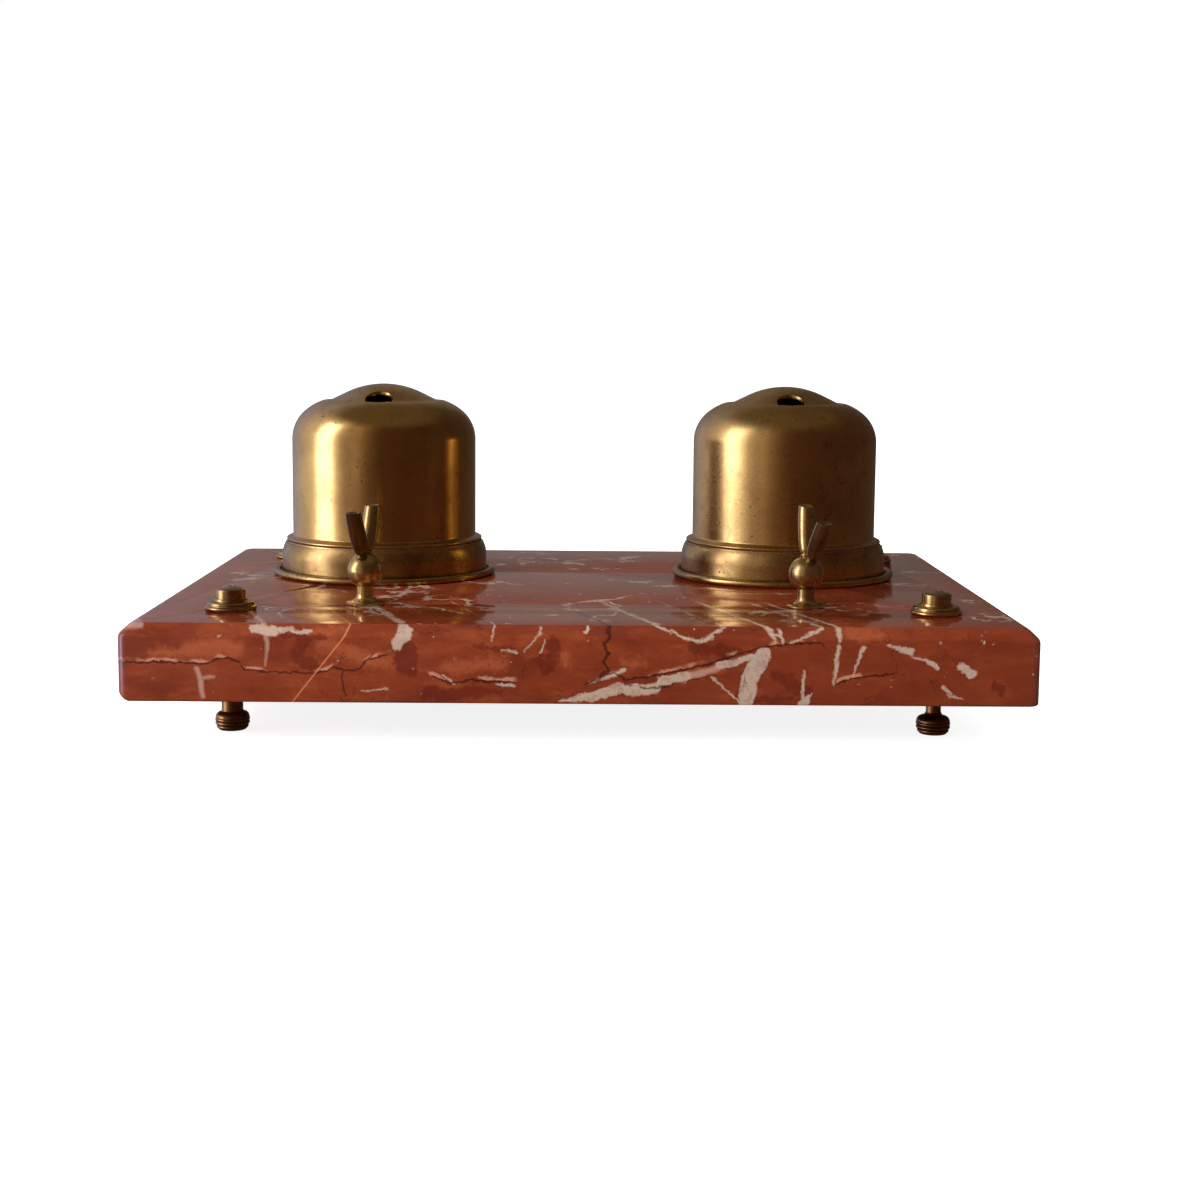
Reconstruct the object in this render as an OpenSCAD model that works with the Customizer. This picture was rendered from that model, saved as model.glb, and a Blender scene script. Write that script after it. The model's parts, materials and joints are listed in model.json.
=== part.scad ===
// Desk inkstand: a polished marble slab on four turned brass feet, with two
// bell-covered ink wells behind and two forked pen rests in front.
// Millimetres. The feet stand on z = 0, x runs to the right and the front is -y.

/* [Slab] */
// Width of the marble slab
slab_w = 280; // [260:1:320]
// Depth of the slab, front to back
slab_d = 200; // [190:1:240]
// Thickness of the slab
slab_t = 23.7; // [18:0.1:30]
// Radius of the slab's upright corners
slab_corner_r = 3; // [1:0.5:8]
// Chamfer round the top edge
slab_chamfer = 3.4; // [1:0.1:5]
// Small chamfer round the bottom edge
slab_arris = 0.5; // [0.3:0.1:2]
// How far the two wells stand right of the slab's middle
well_shift = 1; // [-2:0.1:2]
// How far the two forks stand right of the slab's middle
fork_shift = 1.7; // [-2:0.1:2]
// How far the buttons and feet stand right of the slab's middle
corner_shift = 1.2; // [-2:0.1:2]

/* [Well bases] */
// Distance from the slab's side to a well's axis, before the wells' shift
well_inset_x = 66.5; // [62:0.5:80]
// Distance from the slab's rear edge to the well axes
well_inset_y = 74; // [60:1:90]
// How far the base ring's band stands out past the bell
band_step = 4; // [2.5:0.1:6]
// Height of the straight part of the band
band_h = 6.9; // [5:0.1:12]
// Radius of the gently rounded shoulder above the band
band_shoulder_r = 9.6; // [7:0.1:12]
// Angle through which that shoulder turns inwards
band_turn = 31; // [25:1:36]
// Wall of the base ring
band_wall = 3.2; // [2:0.1:4.5]
// Section radius of the bead round the foot of the band
bead_r = 1.25; // [0.8:0.05:2]
// Distance from the band to the centre of the bead
bead_offset = 1.95; // [1.6:0.05:3]

/* [Liners and ink pots] */
// Wall of the brass liner that holds the pot
liner_wall = 1.2; // [0.8:0.1:2]
// Floor of the liner
liner_floor = 2.6; // [2.4:0.1:4]
// Thickness of the liner's flange, which lies on the base ring
flange_t = 0.5; // [0.4:0.1:1.2]
// Width of the ring's ledge left bare outside the flange
flange_margin = 0.45; // [0.2:0.05:1]
// How far the liner's rim reaches up inside the bell
rim_engagement = 5.2; // [3:0.1:10]
// Thickness of the felt slip ring under the bell
felt_t = 0.4; // [0.3:0.1:1]
// Thickness of the cork pad under the pot
pad_t = 1.2; // [0.8:0.1:3]
// Radial gap round the cork pad
pad_gap = 0.5; // [0.3:0.1:1]
// Radial gap between the pot's foot and the liner
pot_gap = 0.9; // [0.4:0.1:1.5]
// Height of the glass pot
pot_h = 39.3; // [32:0.1:42]
// Height of the pot's wide foot
pot_foot_h = 5.5; // [3:0.1:10]
// How much narrower the pot's body is than its foot, on the radius
pot_step = 3.2; // [2:0.1:5]
// Wall of the glass pot
pot_wall = 2.6; // [2:0.1:4]
// Thickness of the pot's bottom
pot_floor = 5.4; // [3:0.1:8]

/* [Bell covers] */
// Outer radius of the bell's straight wall
bell_r = 33.4; // [31:0.1:36]
// Thickness of the bell's wall
bell_wall = 1.2; // [0.8:0.1:2]
// Height of the straight wall
bell_straight_h = 36.5; // [34:0.1:45]
// How far the lip at the foot of the bell flares out
lip_flare = 2.3; // [1.8:0.1:3]
// Radius of the lip's rounded edge
lip_edge = 0.4; // [0.2:0.05:0.6]
// Radius of the hollow between the lip and the wall
lip_cove_r = 0.8; // [0.5:0.1:1.5]
// Radial clearance between the bell and the liner's rim
bell_clearance = 0.3; // [0.2:0.05:0.6]
// Radius of the rounded corner above the wall
corner_r = 13.6; // [9:0.1:16]
// Radius of the flatter crown that follows it
crown_r = 20.5; // [17:0.1:26]
// Radius of the crest round the groove
crest_r = 3; // [2:0.1:4]
// Radius of the dome's rounded top
dome_r = 31; // [28:0.1:34]
// Slope of the dome's straight flank, in degrees
dome_slope = 26; // [24:1:28]
// Height of the dome above the crest
dome_rise = 5.9; // [5:0.1:6.5]
// Radius of the pen hole at the front of the dome
pen_hole_r = 4.9; // [4:0.1:6]
// Distance from the bell's axis to the pen hole
pen_hole_offset = 17.2; // [15:0.1:20]

/* [Pen forks] */
// Distance from the slab's side to a fork's axis, before the forks' shift
fork_inset_x = 68.2; // [60:0.1:80]
// Distance from the slab's front edge to the forks
fork_inset_y = 45; // [35:0.5:60]
// Radius of a fork's foot disc
fork_foot_r = 6.2; // [5:0.1:8]
// Thickness of the foot disc's edge
fork_foot_t = 0.7; // [0.5:0.1:1.5]
// Radius of the stem
stem_r = 2.75; // [2.4:0.05:4]
// Radius of the cove between foot and stem
cove_r = 2.4; // [1.5:0.1:3]
// Radius of the ball
ball_r = 5.75; // [5.2:0.05:7]
// Height of the ball's centre above the slab
ball_height = 11; // [10:0.1:14]
// Half of the angle between a fork's two prongs
prong_angle = 26; // [24:1:35]
// Distance from the ball's centre to the tip of a prong
prong_reach = 22.4; // [18:0.1:28]
// Radius of a prong at its tip
prong_tip_r = 2.45; // [1.8:0.05:3]
// Radius of a prong at its belly
prong_belly_r = 2.7; // [2:0.1:3]
// Radius of a prong at its waist
prong_waist_r = 1.4; // [1.1:0.1:1.8]
// Radius of the little collar that seats a prong on the ball
prong_collar_r = 1.9; // [1.6:0.1:2.1]
// Depth of the dish in a prong's level tip
tip_dish = 0.5; // [0.3:0.1:1]
// Radius of the spigot that holds a prong in the ball
spigot_r = 0.9; // [0.6:0.05:1.1]
// Length of that spigot
spigot_l = 2; // [1:0.1:2.5]
// How far each fork's prongs are turned outwards, in degrees
fork_yaw = 12; // [0:1:15]
// How far the left fork leans outwards, in degrees
left_fork_lean = 1.5; // [0:0.5:8]
// How far the right fork leans outwards, in degrees
right_fork_lean = 6; // [0:0.5:8]
// How far the left fork is bent forwards, in degrees
left_fork_tilt = 2; // [0:1:12]
// How far the right fork is bent forwards, in degrees
right_fork_tilt = 10; // [0:1:12]

/* [Corner buttons and feet] */
// Distance from the slab's side to the corner buttons, before their shift
corner_inset_x = 27.4; // [18:0.1:32]
// Distance from the slab's front or back edge to the buttons
corner_inset_y = 32.4; // [18:0.1:33]
// Radius of a button's lower ring
button_r = 8.2; // [6.5:0.1:9]
// Height of the lower ring
button_ring_h = 1.3; // [0.8:0.1:2]
// Radius of the second ring
button_step_r = 7.45; // [6:0.05:8]
// Height of the second ring
button_step_h = 1.3; // [0.8:0.1:2]
// Radius of the button's cap
cap_r = 4.65; // [3.5:0.05:5.5]
// Height of the cap's upright wall
cap_h = 2.5; // [1.5:0.1:4]
// Height of the low cone on the cap
cap_cone_h = 1.1; // [0.5:0.1:2]
// Height of a foot
foot_h = 15.3; // [12:0.1:22]
// Largest radius of a foot
foot_r = 5.5; // [4.5:0.1:7]
// Radius of the neck of the two left feet
left_neck_r = 3.4; // [2.4:0.1:3.6]
// Radius of the neck of the two right feet
right_neck_r = 2.4; // [2.4:0.1:3.6]
// Radius of the curves at both ends of a left neck
left_cove_r = 0.7; // [0.4:0.1:0.8]
// Radius of the curves at both ends of a right neck
right_cove_r = 1.7; // [0.8:0.1:1.8]
// Height of the ribbed bun at the bottom of a foot
foot_bun_h = 5.8; // [5:0.1:6.5]

/* [Fasteners] */
// Radius of the screw that holds a liner
well_screw_r = 2.5; // [2:0.1:3]
// Radius of that screw's countersunk head
well_head_r = 4.6; // [3.8:0.1:5]
// Radius of the studs and tie rods
stud_r = 1.5; // [1.2:0.1:1.7]
// Running gap round every screw, stud and spigot
thread_gap = 0.05; // [0.03:0.01:0.1]
// Extra radius of the holes drilled in the marble
drill_gap = 0.3; // [0.2:0.1:1]
// Depth of the pockets under the slab
pocket_depth = 7; // [6.5:0.1:10]
// Radius of the pockets under the wells
well_pocket_r = 9; // [8.5:0.1:12]
// Radius of the pockets under the forks
fork_pocket_r = 6; // [5.5:0.1:9]
// Thickness of the washers
washer_t = 1; // [0.6:0.1:1.5]

/* [Hidden] */
$fn = 96;
eps = 0.01;
// How far a cutter starts outside the solid that it cuts
overcut = 1;

// Heights above the floor, or above the top of the slab where the name says over
slab_top = foot_h + slab_t;
ring_h = band_h + band_shoulder_r * sin(band_turn);
seat_over = ring_h + flange_t + felt_t;
liner_h = seat_over + rim_engagement;

// Places of the wells, forks and corners
well_x = slab_w / 2 - well_inset_x;
well_y = slab_d / 2 - well_inset_y;
fork_x = slab_w / 2 - fork_inset_x;
fork_y = fork_inset_y - slab_d / 2;
corner_x = slab_w / 2 - corner_inset_x;
corner_y = slab_d / 2 - corner_inset_y;

// Radii that follow from the bell
bell_bore = bell_r - bell_wall;
lip_r = bell_r + lip_flare;
liner_r = bell_bore - bell_clearance;
liner_in = liner_r - liner_wall;
ring_r = bell_r + band_step;
ring_top_r = ring_r - band_shoulder_r * (1 - cos(band_turn));
flange_r = ring_top_r - flange_margin;
pot_foot_r = liner_in - pot_gap;
pot_body_r = pot_foot_r - pot_step;
pot_in = pot_body_r - pot_wall;

// Arcs of the bell's outline, in [radius, height above the lip]
corner_turn = 50;
crown_turn = 70;
lip_turn = 65;
lip_slope_l = (lip_flare - (lip_edge + lip_cove_r) * (1 - cos(lip_turn))) / sin(lip_turn);
lip_h = lip_edge + (lip_edge + lip_cove_r) * sin(lip_turn) + lip_slope_l * cos(lip_turn);
corner_c = [bell_r - corner_r, bell_straight_h];
crown_c = corner_c + (corner_r - crown_r) * [cos(corner_turn), sin(corner_turn)];
crest_c = crown_c + (crown_r - crest_r) * [cos(crown_turn), sin(crown_turn)];
dome_c = [0, crest_c[1] + crest_r + dome_rise - dome_r];
// Where the dome's straight flank meets the crest
flank_out = [sin(dome_slope), cos(dome_slope)];
flank_from_crest = (dome_c - crest_c) * flank_out + dome_r;
groove_turn = 90 - dome_slope + acos(flank_from_crest / crest_r);
groove = crest_c + crest_r * [cos(groove_turn), sin(groove_turn)];
// How far below the crest the cutter of the pen hole starts
hole_drop = 8;

// Fork and fastener details
prong_seat = sqrt(ball_r * ball_r - prong_collar_r * prong_collar_r);
collar_h = 0.8;
spotface_r = prong_collar_r + 0.15;
stud_depth = 3;
spigot_gap = 0.2;
// Gap left beyond the end of a stud or tie rod
end_gap = 0.3;
stud_nut_r = stud_r * 2.1;
stud_nut_h = stud_r * 1.6;
well_nut_r = well_screw_r * 1.85;
well_nut_h = well_screw_r * 1.6;
thread_proud = 1;
countersink_h = well_head_r - well_screw_r;
slot_w = 1.2;
slot_depth = 0.9;

// Details of the base rings and liners
bead_wrap = 200;
crease_h = bead_r * 0.55;
crease_edge = 0.2;
seat_t = 1.2;
liner_fillet = 0.6;
half_turn = 180;

// Details of the buttons and feet
ledge_h = 0.9;
ledge_w = 0.5;
cap_round = 0.5;
button_h = button_ring_h + button_step_h + ledge_h + cap_h + cap_round + cap_cone_h;
rod_in_button = button_h * 0.6;
rod_in_foot = foot_h * 0.55;
neck_turn = 50;
rib_pitch = foot_bun_h * 0.2;
rib_r = foot_bun_h * 0.11;
rib_turn = 60;
rib_insets = [0.45, 0.05, 0];
shoulder_r = foot_bun_h * 0.29;
shoulder_inset = 0.15;

brass = "#b48a46";
old_brass = "#8f6a34";
marble = "#b8542f";
steel = "#8d8f92";

// Points along an arc from angle a0 to a1
function arc(c, r, a0, a1, n = 10) =
    [for (i = [0:n]) let (a = a0 + (a1 - a0) * i / n) [c[0] + r * cos(a), c[1] + r * sin(a)]];

function reversed(list) = [for (i = [len(list) - 1:-1:0]) list[i]];

// Places that repeat
module at_well(side) translate([side * well_x + well_shift, well_y, slab_top]) children();
module at_fork(side) translate([side * fork_x + fork_shift, fork_y, slab_top]) children();
module at_corner(sx, sy) translate([sx * corner_x + corner_shift, sy * corner_y, 0]) children();
module both_wells() for (side = [-1, 1]) at_well(side) children();
module both_forks() for (side = [-1, 1]) at_fork(side) children();
module all_corners() for (sx = [-1, 1]) for (sy = [-1, 1]) at_corner(sx, sy) children();

// Turns a prong's upright axis to its direction out of the ball
module fork_head(side) {
    tilt = side < 0 ? left_fork_tilt : right_fork_tilt;
    lean = side < 0 ? left_fork_lean : right_fork_lean;
    translate([0, 0, ball_height])
        rotate([tilt, side * lean, 0])
            rotate([0, 0, side * fork_yaw])
                children();
}

// Outline of the slab seen along one side: chamfered above, eased below
function slab_outline(w) =
    [[-w / 2, slab_arris], [-w / 2 + slab_arris, 0],
     [w / 2 - slab_arris, 0], [w / 2, slab_arris],
     [w / 2, slab_t - slab_chamfer], [w / 2 - slab_chamfer, slab_t],
     [-w / 2 + slab_chamfer, slab_t], [-w / 2, slab_t - slab_chamfer]];

module slab_plan() {
    square([slab_w - 2 * slab_corner_r, slab_d], center = true);
    square([slab_w, slab_d - 2 * slab_corner_r], center = true);
    for (sx = [-1, 1]) for (sy = [-1, 1])
        translate([sx * (slab_w / 2 - slab_corner_r), sy * (slab_d / 2 - slab_corner_r)])
            circle(r = slab_corner_r);
}

// A hole right through the slab with a pocket for the nut underneath
module slab_fixing(hole_r, pocket_r) {
    translate([0, 0, -slab_t - overcut])
        cylinder(r = hole_r, h = slab_t + 2 * overcut);
    translate([0, 0, -slab_t - overcut])
        cylinder(r = pocket_r, h = pocket_depth + overcut);
}

module marble_slab() color(marble) difference() {
    translate([0, 0, foot_h]) intersection() {
        rotate([90, 0, 0])
            linear_extrude(height = slab_d + 2 * overcut, center = true)
                polygon(slab_outline(slab_w));
        rotate([90, 0, 90])
            linear_extrude(height = slab_w + 2 * overcut, center = true)
                polygon(slab_outline(slab_d));
        linear_extrude(height = slab_t) slab_plan();
    }
    both_wells() slab_fixing(well_screw_r + drill_gap, well_pocket_r);
    both_forks() slab_fixing(stud_r + drill_gap, fork_pocket_r);
    all_corners() translate([0, 0, foot_h - overcut])
        cylinder(r = stud_r + drill_gap, h = slab_t + 2 * overcut);
}

// Cast ring that carries the liner and the bell, with a bead and a crease round its foot
module base_ring() color(brass) {
    ring_in = ring_r - band_wall;
    seat_in = liner_r + bell_clearance;
    rotate_extrude() polygon(concat(
        [[ring_in, 0]],
        arc([ring_r + bead_offset, bead_r], bead_r, -90, bead_wrap, 16),
        [[ring_r + crease_edge, crease_h], [ring_r, crease_h + crease_edge]],
        arc([ring_r - band_shoulder_r, band_h], band_shoulder_r, 0, band_turn),
        [[seat_in, ring_h], [seat_in, ring_h - seat_t],
         [ring_in, ring_h - seat_t - (ring_in - seat_in)]]));
}

// Brass cup that holds the pot, with a flange on the base ring and a rim inside the bell
module liner() color(old_brass) difference() {
    rotate_extrude() polygon(concat(
        [[0, 0], [liner_r, 0], [liner_r, ring_h], [flange_r, ring_h],
         [flange_r, ring_h + flange_t], [liner_r, ring_h + flange_t]],
        arc([liner_r - liner_wall / 2, liner_h - liner_wall / 2], liner_wall / 2, 0, half_turn),
        arc([liner_in - liner_fillet, liner_floor + liner_fillet], liner_fillet, 0, -90, 4),
        [[0, liner_floor]]));
    translate([0, 0, -overcut])
        cylinder(r = well_screw_r + thread_gap, h = liner_floor + 2 * overcut);
    translate([0, 0, liner_floor - countersink_h - thread_gap])
        cylinder(r1 = well_screw_r + thread_gap, r2 = well_head_r + 2 * thread_gap,
                 h = countersink_h + thread_gap);
    translate([0, 0, liner_floor - eps]) cylinder(r = well_head_r + 2 * thread_gap, h = overcut);
}

module pot_pad() color("#9a7348") translate([0, 0, liner_floor])
    cylinder(r = liner_in - pad_gap, h = pad_t);

// Pressed glass pot: wide foot, upright body, rounded lip
module ink_pot() color("#a8c4c0", 0.5) translate([0, 0, liner_floor + pad_t]) {
    lip = pot_wall * 0.62;
    rotate_extrude() polygon(concat(
        [[0, 0], [pot_foot_r - 0.8, 0]],
        arc([pot_foot_r - 0.8, 0.8], 0.8, -90, 0, 4),
        [[pot_foot_r, pot_foot_h]],
        arc([pot_body_r + pot_step, pot_foot_h + pot_step], pot_step, -90, -180, 8),
        [[pot_body_r, pot_h - 2 * lip - 0.4]],
        arc([pot_body_r - lip + 0.5, pot_h - lip], lip, -45, 90, 8),
        arc([pot_in + 0.7, pot_h - 0.7], 0.7, 90, 180, 4),
        arc([pot_in - 4, pot_floor + 4], 4, 0, -90, 8),
        [[0, pot_floor]]));
}

module slip_ring() color("#3c2a20") translate([0, 0, ring_h + flange_t]) difference() {
    cylinder(r = lip_r - bell_clearance, h = felt_t);
    translate([0, 0, -overcut]) cylinder(r = bell_bore, h = felt_t + 2 * overcut);
}

// Bell cover: flared lip, straight wall, rounded corner, crown, crest, groove and dome
function bell_outside() = concat(
    [[bell_bore, 0]],
    arc([lip_r - lip_edge, lip_edge], lip_edge, -90, lip_turn, 6),
    reversed(arc([bell_r + lip_cove_r, lip_h], lip_cove_r, half_turn, half_turn + lip_turn, 6)),
    arc(corner_c, corner_r, 0, corner_turn, 12),
    arc(crown_c, crown_r, corner_turn, crown_turn, 6),
    arc(crest_c, crest_r, crown_turn, groove_turn, 8),
    arc(dome_c, dome_r, 90 - dome_slope, 90, 10));

function bell_inside() = concat(
    arc(corner_c, corner_r - bell_wall, 0, corner_turn, 10),
    arc(crown_c, crown_r - bell_wall, corner_turn, crown_turn, 5),
    arc(crest_c, crest_r - bell_wall, crown_turn, groove_turn, 5),
    [groove - bell_wall * flank_out],
    arc(dome_c, dome_r - bell_wall, 90 - dome_slope, 90, 8));

module bell() color(brass) translate([0, 0, seat_over]) difference() {
    rotate_extrude() polygon(concat(bell_outside(), reversed(bell_inside())));
    translate([0, -pen_hole_offset, crest_c[1] - hole_drop])
        cylinder(r = pen_hole_r, h = 2 * hole_drop + dome_rise);
}

// Turned post of a pen fork: foot, cove, stem and a ball drilled for the prongs
module fork_post(side) color(brass) at_fork(side) difference() {
    union() {
        rotate_extrude() polygon(concat(
            [[0, 0], [fork_foot_r, 0], [fork_foot_r, fork_foot_t],
             [stem_r + cove_r, fork_foot_t + 0.3]],
            arc([stem_r + cove_r, fork_foot_t + 0.3 + cove_r], cove_r, -90, -180, 8),
            [[stem_r, ball_height], [0, ball_height]]));
        translate([0, 0, ball_height]) sphere(r = ball_r);
    }
    translate([0, 0, -overcut])
        cylinder(r = stud_r + thread_gap, h = stud_top() + overcut + end_gap);
    for (end = [-1, 1]) fork_head(side) rotate([end * prong_angle, 0, 0]) {
        translate([0, 0, prong_seat]) cylinder(r = spotface_r, h = ball_r);
        translate([0, 0, prong_seat - spigot_l - spigot_gap])
            cylinder(r = spigot_r + thread_gap, h = ball_r);
    }
}

// Share of a prong's length at which it is widest
belly_share = 0.55;

// Radius of a prong at a share of its length: a quick swell to the belly, then a slow taper
function prong_r(t) = t < belly_share
    ? prong_waist_r + (prong_belly_r - prong_waist_r) * sqrt(1 - pow(1 - t / belly_share, 2))
    : prong_belly_r - (prong_belly_r - prong_tip_r) * pow((t - belly_share) / (1 - belly_share), 2);

// Tulip-shaped prong along +z from the ball's centre; its tip is cut level and dished
module prong(end) difference() {
    waist_z = prong_seat + collar_h + 0.3;
    top_z = prong_reach + prong_belly_r * tan(prong_angle);
    steps = 16;
    dish_w = prong_tip_r - 0.4;
    dish_r = (dish_w * dish_w + tip_dish * tip_dish) / (2 * tip_dish);
    rotate_extrude() polygon(concat(
        [[0, prong_seat - spigot_l], [spigot_r, prong_seat - spigot_l], [spigot_r, prong_seat]],
        [[prong_collar_r - 0.15, prong_seat], [prong_collar_r, prong_seat + 0.15],
         [prong_collar_r, prong_seat + collar_h - 0.15],
         [prong_collar_r - 0.15, prong_seat + collar_h]],
        [for (i = [0:steps]) let (t = pow(i / steps, 1.6))
            [prong_r(t), waist_z + (prong_reach - waist_z) * t]],
        [[prong_tip_r, top_z], [0, top_z]]));
    translate([0, 0, prong_reach]) rotate([-end * prong_angle, 0, 0]) {
        translate([-prong_reach / 2, -prong_reach / 2, 0])
            cube([prong_reach, prong_reach, prong_reach / 2]);
        translate([0, 0, dish_r - tip_dish]) sphere(r = dish_r);
    }
}

module fork_prong(side, end) color(brass)
    at_fork(side) fork_head(side) rotate([end * prong_angle, 0, 0]) prong(end);

// Height of a stud's top inside its post, over the slab
function stud_top() = ball_height - ball_r + stud_depth;

// Fasteners, each node a set of separate pieces
module well_screws() color(steel) both_wells() difference() {
    union() {
        translate([0, 0, liner_floor - countersink_h])
            cylinder(r1 = well_screw_r, r2 = well_head_r, h = countersink_h);
        translate([0, 0, -well_screw_end()])
            cylinder(r = well_screw_r, h = well_screw_end() + overcut);
    }
    translate([-well_head_r - overcut, -slot_w / 2, liner_floor - slot_depth])
        cube([2 * (well_head_r + overcut), slot_w, slot_depth + overcut]);
}
function well_screw_end() = slab_t - pocket_depth + washer_t + well_nut_h + thread_proud;
function stud_end() = slab_t - pocket_depth + washer_t + stud_nut_h + thread_proud;

module washer(outer, inner) difference() {
    cylinder(r = outer, h = washer_t);
    translate([0, 0, -overcut]) cylinder(r = inner, h = washer_t + 2 * overcut);
}

module nut(outer, inner, height) difference() {
    cylinder(r = outer, h = height, $fn = 6);
    translate([0, 0, -overcut]) cylinder(r = inner, h = height + 2 * overcut);
}

module well_washers() color(steel) both_wells()
    translate([0, 0, -slab_t + pocket_depth - washer_t])
        washer(well_pocket_r - 1, well_screw_r + thread_gap);
module well_nuts() color(steel) both_wells()
    translate([0, 0, -slab_t + pocket_depth - washer_t - well_nut_h])
        nut(well_nut_r, well_screw_r + thread_gap, well_nut_h);
module fork_studs() color(steel) both_forks()
    translate([0, 0, -stud_end()]) cylinder(r = stud_r, h = stud_end() + stud_top());
module fork_washers() color(steel) both_forks()
    translate([0, 0, -slab_t + pocket_depth - washer_t])
        washer(fork_pocket_r - 1, stud_r + thread_gap);
module fork_nuts() color(steel) both_forks()
    translate([0, 0, -slab_t + pocket_depth - washer_t - stud_nut_h])
        nut(stud_nut_r, stud_r + thread_gap, stud_nut_h);
module tie_rods() color(steel) all_corners()
    translate([0, 0, foot_h - rod_in_foot])
        cylinder(r = stud_r, h = rod_in_foot + slab_t + rod_in_button);

// Corner button: two stacked rings, a cap and a low cone
module button() {
    step_z = button_ring_h;
    deck_z = button_ring_h + button_step_h;
    cap_z = deck_z + ledge_h;
    ledge_r = cap_r + ledge_w;
    color(brass) translate([0, 0, slab_top]) difference() {
        rotate_extrude() polygon(concat(
            [[0, 0]],
            arc([button_r - 0.6, 0.6], 0.6, -90, 60, 6),
            [[button_step_r, step_z]],
            arc([button_step_r - 0.9, deck_z - 0.9], 0.9, 0, 70, 6),
            [[ledge_r, cap_z - 0.35], [ledge_r, cap_z - 0.05], [cap_r, cap_z]],
            arc([cap_r - cap_round, cap_z + cap_h], cap_round, 0, 60, 4),
            [[cap_r - 1.3, cap_z + cap_h + cap_round + cap_cone_h * 0.25],
             [0.8, button_h - 0.05], [0, button_h]]));
        translate([0, 0, -overcut])
            cylinder(r = stud_r + thread_gap, h = rod_in_button + overcut + end_gap);
    }
}

// Turned foot: ribbed bun and a neck with a cove at each end
module foot(neck_r, cove_r) color(brass) difference() {
    rotate_extrude() polygon(concat(
        [[0, 0], [foot_r - 1.9, 0], [foot_r - 1, 0.35]],
        [for (i = [0:2]) each
            arc([foot_r - rib_insets[i] - rib_r, (i + 1) * rib_pitch], rib_r, -rib_turn, rib_turn, 6)],
        arc([foot_r - shoulder_inset - shoulder_r, foot_bun_h - shoulder_r], shoulder_r, 0, 75, 8),
        arc([neck_r + cove_r, foot_bun_h + cove_r], cove_r, -100, -half_turn, 8),
        arc([neck_r + cove_r, foot_h - cove_r * sin(neck_turn)], cove_r,
            half_turn, half_turn - neck_turn, 6),
        [[0, foot_h]]));
    translate([0, 0, foot_h - rod_in_foot - end_gap])
        cylinder(r = stud_r + thread_gap, h = rod_in_foot + end_gap + overcut);
}

module left_base_ring() at_well(-1) base_ring();
module right_base_ring() at_well(1) base_ring();
module left_liner() at_well(-1) liner();
module right_liner() at_well(1) liner();
module left_pot_pad() at_well(-1) pot_pad();
module right_pot_pad() at_well(1) pot_pad();
module left_ink_pot() at_well(-1) ink_pot();
module right_ink_pot() at_well(1) ink_pot();
module left_slip_ring() at_well(-1) slip_ring();
module right_slip_ring() at_well(1) slip_ring();
module left_bell() at_well(-1) bell();
module right_bell() at_well(1) bell();
module left_fork_post() fork_post(-1);
module right_fork_post() fork_post(1);
module left_front_prong() fork_prong(-1, 1);
module left_rear_prong() fork_prong(-1, -1);
module right_front_prong() fork_prong(1, 1);
module right_rear_prong() fork_prong(1, -1);
module front_left_button() at_corner(-1, -1) button();
module front_right_button() at_corner(1, -1) button();
module rear_left_button() at_corner(-1, 1) button();
module rear_right_button() at_corner(1, 1) button();
module front_left_foot() at_corner(-1, -1) foot(left_neck_r, left_cove_r);
module front_right_foot() at_corner(1, -1) foot(right_neck_r, right_cove_r);
module rear_left_foot() at_corner(-1, 1) foot(left_neck_r, left_cove_r);
module rear_right_foot() at_corner(1, 1) foot(right_neck_r, right_cove_r);

marble_slab();
left_base_ring();
left_liner();
left_pot_pad();
left_ink_pot();
left_slip_ring();
left_bell();
right_base_ring();
right_liner();
right_pot_pad();
right_ink_pot();
right_slip_ring();
right_bell();
well_screws();
well_washers();
well_nuts();
left_fork_post();
left_front_prong();
left_rear_prong();
right_fork_post();
right_front_prong();
right_rear_prong();
fork_studs();
fork_washers();
fork_nuts();
front_left_button();
front_right_button();
rear_left_button();
rear_right_button();
front_left_foot();
front_right_foot();
rear_left_foot();
rear_right_foot();
tie_rods();
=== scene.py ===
import json
import math

import bmesh
import bpy
from mathutils import Matrix, Vector


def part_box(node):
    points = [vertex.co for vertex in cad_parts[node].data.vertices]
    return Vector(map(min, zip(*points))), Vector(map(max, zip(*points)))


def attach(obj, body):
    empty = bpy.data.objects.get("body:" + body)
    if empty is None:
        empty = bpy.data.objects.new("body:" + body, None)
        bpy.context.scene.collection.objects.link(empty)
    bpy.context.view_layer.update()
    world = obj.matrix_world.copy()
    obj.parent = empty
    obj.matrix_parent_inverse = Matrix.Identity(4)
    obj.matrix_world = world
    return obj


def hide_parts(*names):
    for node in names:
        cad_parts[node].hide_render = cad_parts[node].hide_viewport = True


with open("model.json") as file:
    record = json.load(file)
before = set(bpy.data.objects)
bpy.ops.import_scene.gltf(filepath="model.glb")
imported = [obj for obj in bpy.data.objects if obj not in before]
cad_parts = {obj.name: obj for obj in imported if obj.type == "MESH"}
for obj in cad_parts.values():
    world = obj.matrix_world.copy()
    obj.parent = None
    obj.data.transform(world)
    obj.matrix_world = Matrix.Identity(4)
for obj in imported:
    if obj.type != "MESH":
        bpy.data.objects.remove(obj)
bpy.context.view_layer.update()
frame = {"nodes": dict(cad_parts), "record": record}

# Sizes in metres, read from the frame where it has them
MM = 0.001
SIDES = {"left": -1, "right": 1}
ENDS = {"front": -1, "rear": 1}


def middle(node):
    """The middle of a node's box, to a tenth of a millimetre."""
    low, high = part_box(node)
    return Vector([round(v, 4) for v in (low + high) / 2])


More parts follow.
